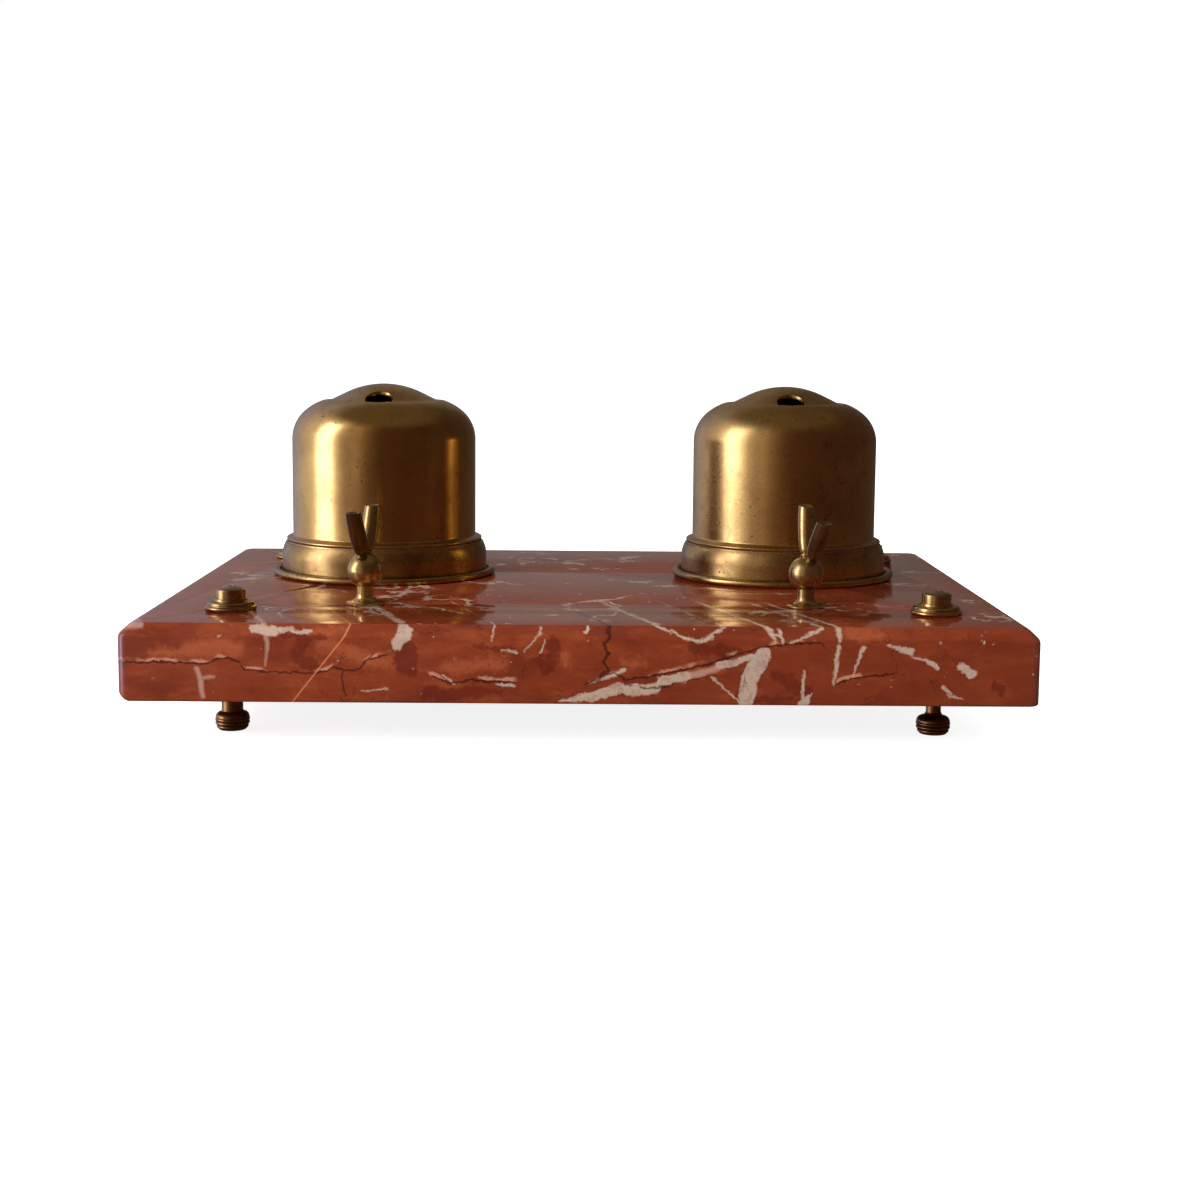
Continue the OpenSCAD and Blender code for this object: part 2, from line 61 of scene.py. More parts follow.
slab_low, slab_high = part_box("marble_slab")
SLAB_TOP = slab_high.z
SLAB_FRONT = slab_low.y
SLAB_WIDTH = slab_high.x - slab_low.x
SLAB_DEPTH = slab_high.y - slab_low.y
SLAB_THICK = slab_high.z - slab_low.z


# Drawing and turning

def arc(centre, radius, start, end, points=10):
    """Points from one angle to another, in degrees, as [radius, height] in millimetres."""
    turn = [math.radians(start + (end - start) * i / points) for i in range(points + 1)]
    return [(centre[0] + radius * math.cos(a), centre[1] + radius * math.sin(a)) for a in turn]


def deselect():
    if bpy.context.object and bpy.context.object.mode != "OBJECT":
        bpy.ops.object.mode_set(mode="OBJECT")
    bpy.ops.object.select_all(action="DESELECT")


def activate(piece):
    deselect()
    piece.select_set(True)
    bpy.context.view_layer.objects.active = piece


def place_in_mesh(piece):
    """The object goes to the origin, unturned and unscaled, and its place into its mesh."""
    activate(piece)
    bpy.ops.object.transform_apply(location=True, rotation=True, scale=True)


def finish_with(piece, kind, **settings):
    activate(piece)
    modifier = piece.modifiers.new(kind.title(), kind)
    for name, value in settings.items():
        setattr(modifier, name, value)
    bpy.ops.object.modifier_apply(modifier=modifier.name)


def smooth(piece, angle=32):
    activate(piece)
    bpy.ops.object.shade_smooth_by_angle(angle=math.radians(angle))


def turned(name, outline, steps=128):
    """Spins an outline of (radius, height) points in millimetres round the upright axis."""
    deselect()
    bpy.ops.mesh.primitive_plane_add(size=MM)
    piece = bpy.context.object
    piece.name = name
    piece.data.name = name
    bpy.ops.object.mode_set(mode="EDIT")
    bpy.ops.mesh.select_mode(type="VERT")
    bpy.ops.mesh.select_all(action="SELECT")
    bpy.ops.mesh.merge(type="CENTER")
    points = [Vector((r * MM, 0, h * MM)) for r, h in outline]
    bpy.ops.transform.translate(value=points[0])
    for before, after in zip(points, points[1:]):
        bpy.ops.mesh.extrude_region_move(TRANSFORM_OT_translate={"value": after - before})
    bpy.ops.mesh.select_all(action="SELECT")
    bpy.ops.mesh.spin(steps=steps, angle=math.tau, center=(0, 0, 0), axis=(0, 0, 1))
    bpy.ops.mesh.select_all(action="SELECT")
    bpy.ops.mesh.remove_doubles(threshold=0.002 * MM)
    bpy.ops.mesh.normals_make_consistent(inside=False)
    bpy.ops.object.mode_set(mode="OBJECT")
    return piece


def copy_of(piece, name, at=(0, 0, 0), mirrored=False):
    """A copy with its own mesh, moved to its place."""
    activate(piece)
    bpy.ops.object.duplicate()
    copy = bpy.context.object
    copy.name = name
    copy.data.name = name
    if mirrored:
        copy.scale.x = -1
    copy.location = at
    place_in_mesh(copy)
    if mirrored:
        bpy.ops.object.mode_set(mode="EDIT")
        bpy.ops.mesh.select_all(action="SELECT")
        bpy.ops.mesh.normals_make_consistent(inside=False)
        bpy.ops.object.mode_set(mode="OBJECT")
    return copy


def drilled(piece, places, radius, bottom, top, vertices=48):
    """Cuts an upright hole at each place, between two heights."""
    deselect()
    drills = []
    for at in places:
        bpy.ops.mesh.primitive_cylinder_add(vertices=vertices, radius=radius, depth=top - bottom,
                                            location=(at[0], at[1], (top + bottom) / 2))
        drills.append(bpy.context.object)
    for drill in drills:
        drill.select_set(True)
    if len(drills) > 1:
        bpy.ops.object.join()
    drill = bpy.context.object
    finish_with(piece, "BOOLEAN", object=drill, operation="DIFFERENCE", solver="EXACT")
    bpy.data.objects.remove(drill)


def hand_over(piece, node, finish):
    """A finished piece takes the place of its node and rides on the node's body."""
    piece.data.materials.clear()
    piece.data.materials.append(finish)
    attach(piece, BODY_OF[node])
    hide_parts(node)


BODY_OF = {node: body for body, nodes in frame["record"]["behaviour"]["bodies"].items()
           for node in nodes}


# Shader helpers

class Shader:
    """A node tree that is written from left to right."""

    def __init__(self, tree):
        self.tree = tree

    def add(self, kind, **settings):
        node = self.tree.nodes.new(kind)
        inputs = settings.pop("inputs", {})
        for name, value in settings.items():
            setattr(node, name, value)
        for name, value in inputs.items():
            self.feed(node.inputs[name], value)
        return node

    def feed(self, socket, value):
        if isinstance(value, bpy.types.NodeSocket):
            self.tree.links.new(value, socket)
        else:
            socket.default_value = value

    def math(self, operation, a, b=0.0, c=0.0, clamp=False):
        node = self.add("ShaderNodeMath", operation=operation, use_clamp=clamp)
        for socket, value in zip(node.inputs, (a, b, c)):
            self.feed(socket, value)
        return node.outputs[0]

    def vector(self, operation, a, b=(0, 0, 0), scale=1.0):
        node = self.add("ShaderNodeVectorMath", operation=operation)
        self.feed(node.inputs[0], a)
        if operation == "SCALE":
            self.feed(node.inputs["Scale"], scale)
        elif operation not in ("LENGTH", "NORMALIZE"):
            self.feed(node.inputs[1], b)
        return node.outputs["Value" if operation in ("LENGTH", "DOT_PRODUCT", "DISTANCE") else 0]

    def mix(self, factor, a, b, kind="MIX"):
        node = self.add("ShaderNodeMix", data_type="RGBA", blend_type=kind, clamp_factor=True)
        for socket, value in zip((0, 6, 7), (factor, a, b)):
            self.feed(node.inputs[socket], value)
        return node.outputs[2]

    def noise(self, vector, scale, detail=4.0, roughness=0.55, distortion=0.0, out="Fac"):
        node = self.add("ShaderNodeTexNoise", inputs={
            "Vector": vector, "Scale": scale, "Detail": detail,
            "Roughness": roughness, "Distortion": distortion})
        return node.outputs[out]

    def step(self, value, low, high):
        """0 below low, 1 above high, smooth between. It falls where high is below low."""
        node = self.add("ShaderNodeMapRange", interpolation_type="SMOOTHSTEP",
                        inputs={"Value": value})
        if low < high:
            ends = (low, high, 0.0, 1.0)
        else:
            ends = (high, low, 1.0, 0.0)
        for name, end in zip(("From Min", "From Max", "To Min", "To Max"), ends):
            node.inputs[name].default_value = end
        return node.outputs["Result"]


def srgb(red, green, blue):
    """A colour written as 0 to 255 on screen, as a shader wants it."""
    def linear(v):
        v = v / 255
        return v / 12.92 if v <= 0.04045 else ((v + 0.055) / 1.055) ** 2.4
    return (linear(red), linear(green), linear(blue), 1.0)


def material(name):
    """A new material with its tree, Principled shader and object coordinates in millimetres."""
    made = bpy.data.materials.new(name)
    made.use_nodes = True
    sh = Shader(made.node_tree)
    principled = made.node_tree.nodes["Principled BSDF"]
    coords = sh.add("ShaderNodeTexCoord").outputs["Object"]
    place = sh.vector("SCALE", coords, scale=1 / MM)
    return made, sh, principled, place


def group(name, inputs, outputs):
    """An empty node group with named sockets, as (tree, shader, inputs, outputs)."""
    tree = bpy.data.node_groups.new(name, "ShaderNodeTree")
    for label, kind, default in inputs:
        socket = tree.interface.new_socket(label, in_out="INPUT", socket_type=kind)
        if default is not None:
            socket.default_value = default
    for label, kind in outputs:
        tree.interface.new_socket(label, in_out="OUTPUT", socket_type=kind)
    sh = Shader(tree)
    start = sh.add("NodeGroupInput")
    end = sh.add("NodeGroupOutput")
    return tree, sh, start.outputs, end.inputs


NUMBER = "NodeSocketFloat"
VECTOR = "NodeSocketVector"
COLOUR = "NodeSocketColor"


# Marble: red limestone with clouds, calcite veins and thin dark seams

def graph(sh, value, points, low, high):
    """A value read off a drawn graph of (place, value) points between low and high."""
    first, last = points[0][0], points[-1][0]
    node = sh.add("ShaderNodeFloatCurve")
    curve = node.mapping.curves[0]
    for place, height in points[1:-1]:
        curve.points.new((place - first) / (last - first), (height - low) / (high - low))
    curve.points[0].location = (0.0, (points[0][1] - low) / (high - low))
    curve.points[-1].location = (1.0, (points[-1][1] - low) / (high - low))
    for point in curve.points:
        point.handle_type = "VECTOR"
    node.mapping.update()
    share = sh.math("DIVIDE", sh.math("SUBTRACT", value, first), last - first, clamp=True)
    sh.feed(node.inputs["Value"], share)
    return sh.math("MULTIPLY_ADD", node.outputs["Value"], high - low, low)


# How far a vein moves sideways on its way to the back, per millimetre, and how far back the
# figure is whole and where it has faded out
VEIN_SLANT = 0.35
FIGURE_FULL = 40
FIGURE_END = 60

# The stone's figure as the front face shows it, in millimetres along the slab and above the
# desk. A vein or patch runs from one point to another, with its width at each:
# (along, height, along, height, width, width).
CALCITE = [
    (-52.4, 37.2, -55.2, 33.6, 4.4, 3.4), (-50.8, 37.4, -53.6, 36.8, 1.4, 3), (-98.4, 37.6, -92, 37, 2, 2.6),
    (-92, 37, -81, 37.4, 1.4, 0.8), (-6, 16.6, 4, 17.6, 0.6, 3.2), (4, 17.6, 12, 20.2, 3.2, 3.4),
    (14, 19.6, 23, 20.6, 2.4, 3.2), (24.6, 22.4, 32, 24, 3, 3.4), (42, 27.4, 53, 30.6, 2.6, 1.6),
    (9, 24, 13.6, 25.8, 1.5, 1), (55.4, 31, 51.4, 24, 4.6, 5.4), (51.4, 24, 50.6, 16, 5.4, 4.6),
    (57.4, 39.4, 58.8, 34.4, 1.7, 1.1), (79.6, 39.4, 78.4, 34.8, 1.6, 0.8),
    (78.2, 33.2, 76.6, 21.8, 1.1, 0.7), (85.4, 33.2, 84.6, 30, 1.2, 0.9), (93, 33.6, 100, 32.2, 0.6, 2.4),
    (105, 29.6, 108, 27.2, 1.1, 1.5), (115.2, 27.8, 119, 25.6, 1.8, 2.6), (67.6, 16, 71, 19.4, 3, 0.4),
    (110, 21.4, 112.4, 19, 1.2, 0.6)]

# Threads of calcite
THREADS = [
    (24.4, 39.2, 28, 37.4, 0.9, 1), (28.6, 37.8, 31.4, 35.8, 0.7, 0.9), (31.4, 35.8, 36, 34.5, 0.9, 1.1),
    (36, 34.5, 40, 36.2, 1.1, 0.9), (40, 36.2, 45, 38.9, 0.9, 0.5), (2.6, 22.2, 9, 24, 0.4, 0.9),
    (61, 37.8, 61.8, 34.2, 1, 0.8), (58.4, 37, 61.2, 36.6, 0.7, 0.6), (63.6, 34.8, 74.6, 38.8, 0.5, 0.8),
    (84.6, 30, 82.8, 24, 0.8, 0.3), (101, 30.6, 105, 29.6, 0.5, 0.7), (67.5, 26, 67.7, 18, 0.4, 1),
    (111.6, 18.8, 116, 17.6, 0.7, 0.4), (-24, 31.9, -19.6, 31.3, 0.4, 0.9), (-41.6, 24, -38, 21.2, 0.5, 0.3),
    (-25.4, 21.5, -19.6, 21.2, 0.7, 0.9), (-66, 19.2, -58, 19.6, 0.3, 0.5),
    (-10.4, 35, -11.9, 30.8, 0.3, 0.5),
    (-27, 35, -24.6, 38.8, 0.3, 0.5), (39.6, 24, 48.4, 16.4, 0.5, 0.6), (-17, 31.2, -11, 38.2, 0.3, 0.5)]

# Thinner, greyer veins
HAZY = [
    (-94.8, 39.4, -94.5, 31.6, 1.8, 0.9), (-94.5, 31.6, -94.9, 26.8, 0.9, 0.3),
    (-115.8, 25.4, -114.6, 21.8, 1.2, 1.8), (-114.6, 21.8, -114, 17, 1.8, 1.4),
    (-114.6, 22.8, -110.8, 23, 0.8, 0.7), (-139, 38.6, -132, 38.6, 2.6, 1.6),
    (33.4, 24.4, 41.6, 26.8, 2.2, 1.8)]

# Soft orange clouds
PEACH = [
    (-81, 37, -71, 37.2, 3, 2.4), (-77, 33, -66, 29.6, 4, 4), (-5.2, 30, -3.6, 27.8, 3.2, 2.4),
    (13.6, 27.8, 18, 27.6, 2.2, 2), (32.7, 24.5, 42, 26.6, 3.2, 2.8), (82, 37.2, 91, 37.2, 2.4, 2.6),
    (-64, 29, -58, 28, 3, 4), (-128, 30.6, -104, 32, 3, 5), (-40, 26, -24, 28, 3, 4)]

# Patches of darker red
DARK = [
    (-89.4, 35.4, -77, 35.6, 1.4, 2.2), (-83.8, 34.8, -84.6, 31.6, 6.4, 1.6), (-86, 30, -80, 26.4, 3.4, 3),
    (-53, 30.4, -51.8, 26.8, 8, 6.8), (-33, 33.6, -20, 31.4, 1.2, 2.4), (-8.6, 35.4, -7.6, 31, 3.4, 4.4),
    (-15, 28.8, -8, 28.8, 0.8, 2.6), (-9.8, 27.4, -10.6, 24.2, 4.2, 1.2), (-45, 18.2, -24, 19, 4.4, 2.6),
    (34, 33, 46, 31.4, 3.4, 3.6), (48, 17, 63, 17.8, 3, 1.6), (125.6, 22, 128.6, 19.8, 2.4, 2),
    (59, 25, 70, 19, 3, 4)]

# Steep dark seams
CRACKS = [
    (-71.6, 25, -72, 21, 0.5, 0.5), (-72, 21, -70.8, 17.6, 0.7, 0.5), (-66, 26, -62.6, 30.4, 0.5, 0.5),
    (18, 20.8, 24, 20.6, 0.5, 0.5), (24, 20.6, 38.6, 24.2, 0.5, 0.4), (9, 26.4, 6.4, 24, 0.5, 0.5)]

# The long seams: (along, height, width)
SEAM = [
    (-140, 27.4, 0.5), (-122, 27.4, 0.5), (-112.6, 26.9, 0.5), (-109.6, 28.8, 0.6), (-105.7, 28.8, 0.6),
    (-102.7, 27.4, 0.6), (-101.7, 25.4, 0.6), (-98.8, 24.9, 0.5), (-81, 24.4, 0.5), (-77.1, 24.9, 0.5),
    (-74.1, 26.4, 0.5), (-71.2, 24.9, 0.5), (-67.2, 25.4, 0.5), (-64.3, 28.3, 0.5), (-58.4, 30.3, 0.4),
    (-57, 30.6, 0), (-46, 24.2, 0), (-45, 23.9, 0.4), (-39.2, 21.5, 0.6), (-33.3, 22.5, 0.6),
    (-20.5, 22, 0.5), (-19, 22, 0), (1, 21.6, 0), (2.2, 21.9, 0.6), (10, 25.2, 0.5), (14, 22.8, 0.5),
    (24, 24.6, 0.5), (38.6, 27.9, 0.5), (50, 31.8, 0.5), (56.7, 33.5, 0.6), (61.6, 34.1, 0.5),
    (72.4, 35, 0.5), (74.4, 33, 0.4), (75.4, 33, 0), (76.4, 21.6, 0), (77, 21.8, 0.5), (81, 23.5, 0.5),
    (88, 24.6, 0.5), (95, 25.6, 0.4), (97, 25.6, 0), (140, 26, 0)]

# A dark wavy line that rises through the stone, as (height, along)
RISING_SEAM = [(16, 4), (24, 6.2), (26, 8.6), (28.6, 7), (31, 9), (33.6, 7.2), (36, 8.8), (39, 9.8)]


def stroke_group():
    """The mask of one drawn stroke, round at both ends."""
    tree, sh, given, out = group(
        "Stroke in stone",
        [("Place", VECTOR, None), ("Start", VECTOR, (0, 0, 0)), ("Run", VECTOR, (0, 0, 0)),
         ("Share", VECTOR, (0, 0, 0)), ("Half width", NUMBER, 1.0), ("Growth", NUMBER, 0.0),
         ("Sharpness", NUMBER, 1.0)],
        [("Mask", NUMBER)])
    reach = sh.vector("SUBTRACT", given["Place"], given["Start"])
    share = sh.math("ADD", sh.vector("DOT_PRODUCT", reach, given["Share"]), 0.0, clamp=True)
    along = sh.vector("SCALE", given["Run"], scale=share)
    away = sh.vector("LENGTH", sh.vector("SUBTRACT", reach, along))
    half = sh.math("MULTIPLY_ADD", share, given["Growth"], given["Half width"])
    inside = sh.math("MULTIPLY", sh.math("SUBTRACT", half, away), given["Sharpness"])
    sh.feed(out["Mask"], sh.math("ADD", inside, 0.5, clamp=True))
    return tree


def strokes(sh, stroke, place, table, soft):
    """The mask of a table of strokes, with edges of a given softness in millimetres."""
    if len(table) > 1:
        half = len(table) // 2
        return sh.math("MAXIMUM", strokes(sh, stroke, place, table[:half], soft),
                       strokes(sh, stroke, place, table[half:], soft))
    x, z, to_x, to_z, width, to_width = table[0]
    run = (to_x - x, 0.0, to_z - z)
    length = run[0] ** 2 + run[2] ** 2
    node = sh.add("ShaderNodeGroup", node_tree=stroke, inputs={
        "Place": place, "Start": (x, 0.0, z), "Run": run,
        "Share": (run[0] / length, 0.0, run[2] / length), "Half width": width / 2,
        "Growth": (to_width - width) / 2, "Sharpness": 1 / soft})
    return node.outputs["Mask"]


def marble_material():
    made, sh, principled, place = material("red_marble")

    def moved(size, scale, detail, seed=(0, 0, 0)):
        field = sh.noise(sh.vector("ADD", place, seed), scale, detail, 0.6, out="Color")
        return sh.vector("SCALE", sh.vector("SUBTRACT", field, (0.5, 0.5, 0.5)), scale=size)

    def flat(field):
        """A place sheared with its depth and laid in the front face's plane, with its parts."""
        parts = sh.add("ShaderNodeSeparateXYZ", inputs={"Vector": field})
        depth = sh.math("SUBTRACT", parts.outputs["Y"], SLAB_FRONT / MM)
        x = sh.math("MULTIPLY_ADD", depth, VEIN_SLANT, parts.outputs["X"])
        laid = sh.add("ShaderNodeCombineXYZ", inputs={"X": x, "Z": parts.outputs["Z"]})
        return laid.outputs[0], x, parts.outputs["Z"], depth

    broad = moved(26.0, 0.02, 4)
    wobble = moved(3.0, 0.14, 4)
    fine = moved(1.5, 0.8, 3)
    ragged = moved(2.2, 0.5, 3, (9, 4, 2))
    bent = sh.vector("ADD", sh.vector("ADD", place, wobble), fine)
    strong = sh.vector("ADD", sh.vector("ADD", place, broad), wobble)
    torn = flat(sh.vector("ADD", bent, moved(7.0, 0.3, 4, (3, 8, 5))))[0]
    smooth_face = flat(sh.vector("ADD", place, sh.vector("SCALE", wobble, scale=0.7)))[0]
    face, along, _, back = flat(bent)
    jagged_face, jagged_along, jagged_height, _ = flat(
        sh.vector("ADD", sh.vector("ADD", place, sh.vector("SCALE", wobble, scale=0.4)), ragged))
    near = sh.step(back, FIGURE_END, FIGURE_FULL)
    stroke = stroke_group()

    def drawn(field, before, table, soft):
        """Strokes that are pushed aside a little by those that were there before."""
        field = sh.vector("ADD", field, sh.vector("SCALE", (0.25, 0, 0.25), scale=before))
        return strokes(sh, stroke, field, table, soft)

    # Body colour: soft clouds, drawn out along the bed
    lying = sh.vector("MULTIPLY", strong, (0.5, 0.5, 1.4))
    cloud = sh.noise(lying, 0.075, 6, 0.6)
    tone = sh.mix(sh.step(cloud, 0.34, 0.5), srgb(92, 31, 14), srgb(110, 41, 19))
    tone = sh.mix(sh.step(cloud, 0.5, 0.68), tone, srgb(126, 54, 28))
    smears = sh.noise(sh.vector("MULTIPLY", bent, (0.35, 0.35, 1.2)), 0.3, 5, 0.65)
    tone = sh.mix(sh.math("MULTIPLY", 0.5, sh.step(smears, 0.5, 0.66)), tone, srgb(94, 32, 16))
    tone = sh.mix(sh.math("MULTIPLY", 0.3, sh.step(smears, 0.46, 0.32)), tone, srgb(142, 68, 38))
    # Darker towards the right end: painted shade, for light that falls off away from the left.
    right_end_shade = sh.step(along, -60, 90)
    tone = sh.mix(sh.math("MULTIPLY", right_end_shade, 0.35), tone, srgb(98, 34, 16))
    grain = sh.noise(place, 1.5, 5, 0.7)
    tone = sh.mix(0.12, tone, sh.mix(grain, srgb(66, 22, 11), srgb(166, 90, 58)))

    peach = sh.math("MULTIPLY", strokes(sh, stroke, torn, PEACH, 2.4), near)
    tone = sh.mix(sh.math("MULTIPLY", peach, 0.3), tone, srgb(176, 94, 56))
    dark = sh.math("MULTIPLY", drawn(torn, peach, DARK, 0.8), near)
    tone = sh.mix(sh.math("MULTIPLY", dark, 0.62), tone, srgb(80, 24, 14))

    # Calcite: the drawn veins near the front, scattered sheets and flecks behind
    broad_veins = drawn(face, dark, CALCITE, 0.5)
    threads = drawn(face, broad_veins, THREADS, 0.5)
    calcite = sh.math("MULTIPLY", sh.math("MAXIMUM", broad_veins, threads), near)
    sheet = sh.noise(sh.vector("ADD", strong, (31, 7, 53)), 0.026, 4, 0.55)
    sheets = sh.step(sh.math("ABSOLUTE", sh.math("SUBTRACT", sheet, 0.5)), 0.016, 0.006)
    gate = sh.step(sh.noise(place, 0.03, 2, 0.5), 0.47, 0.56)
    behind = sh.step(back, 4, 26)
    scattered = sh.math("MULTIPLY", sh.math("MULTIPLY", sheets, gate), behind)
    flecks = sh.math("MULTIPLY", sh.step(sh.noise(bent, 0.3, 2, 0.5), 0.69, 0.72),
                     sh.step(sh.noise(place, 0.05, 2, 0.5), 0.5, 0.6))
    calcite = sh.math("MAXIMUM", calcite, sh.math("MAXIMUM", scattered, flecks))
    breaks = sh.step(sh.noise(bent, 0.4, 5, 0.68), 0.62, 0.46)
    calcite = sh.math("MULTIPLY", calcite, sh.math("MULTIPLY_ADD", breaks, 0.45, 0.5))
    pale = sh.mix(sh.noise(bent, 0.4, 5, 0.7), srgb(112, 82, 66), srgb(208, 186, 166))
    tone = sh.mix(calcite, tone, pale)
    hazy = sh.math("MULTIPLY", drawn(smooth_face, threads, HAZY, 0.9), near)
    tone = sh.mix(sh.math("MULTIPLY", hazy, 0.6), tone, srgb(172, 134, 120))

    # Dark seams with a pale fringe above them, and one straight orange fracture
    spots = [(x, z) for x, z, width in SEAM]
    widths = [(x, width) for x, z, width in SEAM]
    middle_z = graph(sh, jagged_along, spots, 10, 45)
    width = graph(sh, jagged_along, widths, 0, 2)
    over = sh.math("SUBTRACT", jagged_height, middle_z)
    there = sh.math("MULTIPLY", sh.math("DIVIDE", width, 0.4, clamp=True), near)
    fringe = sh.math("MULTIPLY", sh.step(over, 1.7, 0.9), sh.step(over, 0.1, 0.4))
    fringe = sh.math("MULTIPLY", fringe, sh.step(sh.noise(place, 0.1, 2, 0.5), 0.46, 0.58))
    tone = sh.mix(sh.math("MULTIPLY", sh.math("MULTIPLY", fringe, there), 0.55), tone,
                  srgb(196, 138, 112))
    line = sh.step(sh.math("SUBTRACT", sh.math("ABSOLUTE", over), sh.math("MULTIPLY", width, 0.45)),
                   0.25, -0.05)
    rising = graph(sh, jagged_height, RISING_SEAM, -10, 20)
    off = sh.math("ABSOLUTE", sh.math("SUBTRACT", jagged_along, rising))
    rise = sh.math("MULTIPLY", sh.step(off, 0.9, 0.3), sh.step(jagged_height, 22, 24))
    rise = sh.math("MULTIPLY", rise, sh.step(back, 40, 30))
    cracks = sh.math("MULTIPLY", drawn(jagged_face, hazy, CRACKS, 0.4), near)
    seams = sh.math("MAXIMUM", sh.math("MULTIPLY", line, there), sh.math("MAXIMUM", rise, cracks))
    hair = sh.noise(sh.vector("ADD", strong, (5, 61, 13)), 0.035, 5, 0.6)
    hair = sh.step(sh.math("ABSOLUTE", sh.math("SUBTRACT", hair, 0.5)), 0.006, 0.0025)
    hair = sh.math("MULTIPLY", hair, sh.step(sh.noise(place, 0.05, 3, 0.55), 0.5, 0.58))
    faint = sh.math("MULTIPLY", hair, 0.5)
    tone = sh.mix(sh.math("MAXIMUM", sh.math("MULTIPLY", seams, 0.8), faint), tone, srgb(46, 16, 12))
    fracture = strokes(sh, stroke, flat(place)[0], [(-68, 39.6, -87.4, 15, 0.35, 0.25)], 0.4)
    tone = sh.mix(sh.math("MULTIPLY", sh.math("MULTIPLY", fracture, near), 0.8), tone,
                  srgb(200, 122, 78))

    sh.feed(principled.inputs["Base Color"], tone)
    haze = sh.noise(place, 0.12, 4, 0.6)
    parts = sh.add("ShaderNodeSeparateXYZ", inputs={"Vector": place})
    half_w = SLAB_WIDTH / 2 / MM
    front = SLAB_FRONT / MM
    corner = sh.math("MULTIPLY",
                     sh.step(sh.math("ABSOLUTE", parts.outputs["X"]), half_w - 4.6, half_w - 1.6),
                     sh.step(parts.outputs["Y"], front + 4, front + 2))
    polish = sh.math("MULTIPLY_ADD", haze, 0.06, 0.07)
    sh.feed(principled.inputs["Roughness"], sh.math("MULTIPLY_ADD", corner, 0.18, polish))
    principled.inputs["IOR"].default_value = 1.52
    bump = sh.add("ShaderNodeBump", inputs={"Height": sh.noise(place, 0.06, 2, 0.5),
                                            "Strength": 0.1, "Distance": 0.0003})
    sh.feed(principled.inputs["Normal"], bump.outputs[0])
    return made


# Brass

def patina_group():
    """Tarnish, spots and turning marks of old brass, round an upright axis."""
    tree, sh, given, out = group(
        "Old brass surface",
        [("Place", VECTOR, None), ("Axis", VECTOR, (0, 0, 0)), ("Bright", COLOUR, (1, 1, 1, 1)),
         ("Tarnish", COLOUR, (0, 0, 0, 1)), ("Tarnish amount", NUMBER, 0.5),
         ("Spots", NUMBER, 0.5), ("Polish", NUMBER, 0.25), ("Lathe marks", NUMBER, 0.5)],
        [("Colour", COLOUR), ("Roughness", NUMBER), ("Height", NUMBER)])
    local = sh.vector("SUBTRACT", given["Place"], given["Axis"])
    split = sh.add("ShaderNodeSeparateXYZ", inputs={"Vector": local})
    flat = sh.add("ShaderNodeCombineXYZ", inputs={"X": split.outputs["X"], "Y": split.outputs["Y"]})
    radius = sh.vector("LENGTH", flat.outputs[0])
    ring = sh.add("ShaderNodeCombineXYZ", inputs={"X": radius, "Z": split.outputs["Z"]})
    marks = sh.noise(ring.outputs[0], 2.6, 3, 0.7)
    broad = sh.noise(given["Place"], 0.055, 5, 0.6, 0.4)
    blotch = sh.noise(given["Place"], 0.26, 5, 0.68, 0.3)
    dull = sh.math("MULTIPLY", sh.step(broad, 0.36, 0.66), given["Tarnish amount"])
    dull = sh.math("ADD", dull, sh.math("MULTIPLY", sh.step(blotch, 0.52, 0.72), 0.32), clamp=True)
    colour = sh.mix(dull, given["Bright"], given["Tarnish"])
    pits = sh.add("ShaderNodeTexVoronoi", feature="F1",
                  inputs={"Vector": given["Place"], "Scale": 0.42, "Randomness": 1.0})
    size = sh.math("MULTIPLY", sh.noise(given["Place"], 0.16, 2, 0.5), 0.46)
    spot = sh.step(sh.math("SUBTRACT", size, pits.outputs["Distance"]), 0.06, 0.13)
    spot = sh.math("MULTIPLY", sh.math("MULTIPLY", spot, given["Spots"]),
                   sh.step(sh.noise(given["Place"], 0.09, 2, 0.5), 0.5, 0.58))
    colour = sh.mix(spot, colour, srgb(52, 36, 22))
    sh.feed(out["Colour"], colour)
    rough = sh.math("MULTIPLY_ADD", blotch, 0.1, sh.math("SUBTRACT", given["Polish"], 0.05))
    rough = sh.math("ADD", rough, sh.math("MULTIPLY", dull, 0.08))
    rough = sh.math("ADD", rough, sh.math("MULTIPLY", spot, 0.3), clamp=True)
    sh.feed(out["Roughness"], rough)
    height = sh.math("MULTIPLY", marks, given["Lathe marks"])
    height = sh.math("SUBTRACT", height, sh.math("MULTIPLY", spot, 0.8))
    height = sh.math("ADD", height, sh.math("MULTIPLY", blotch, 0.05))
    sh.feed(out["Height"], height)
    return tree


PATINA = patina_group()


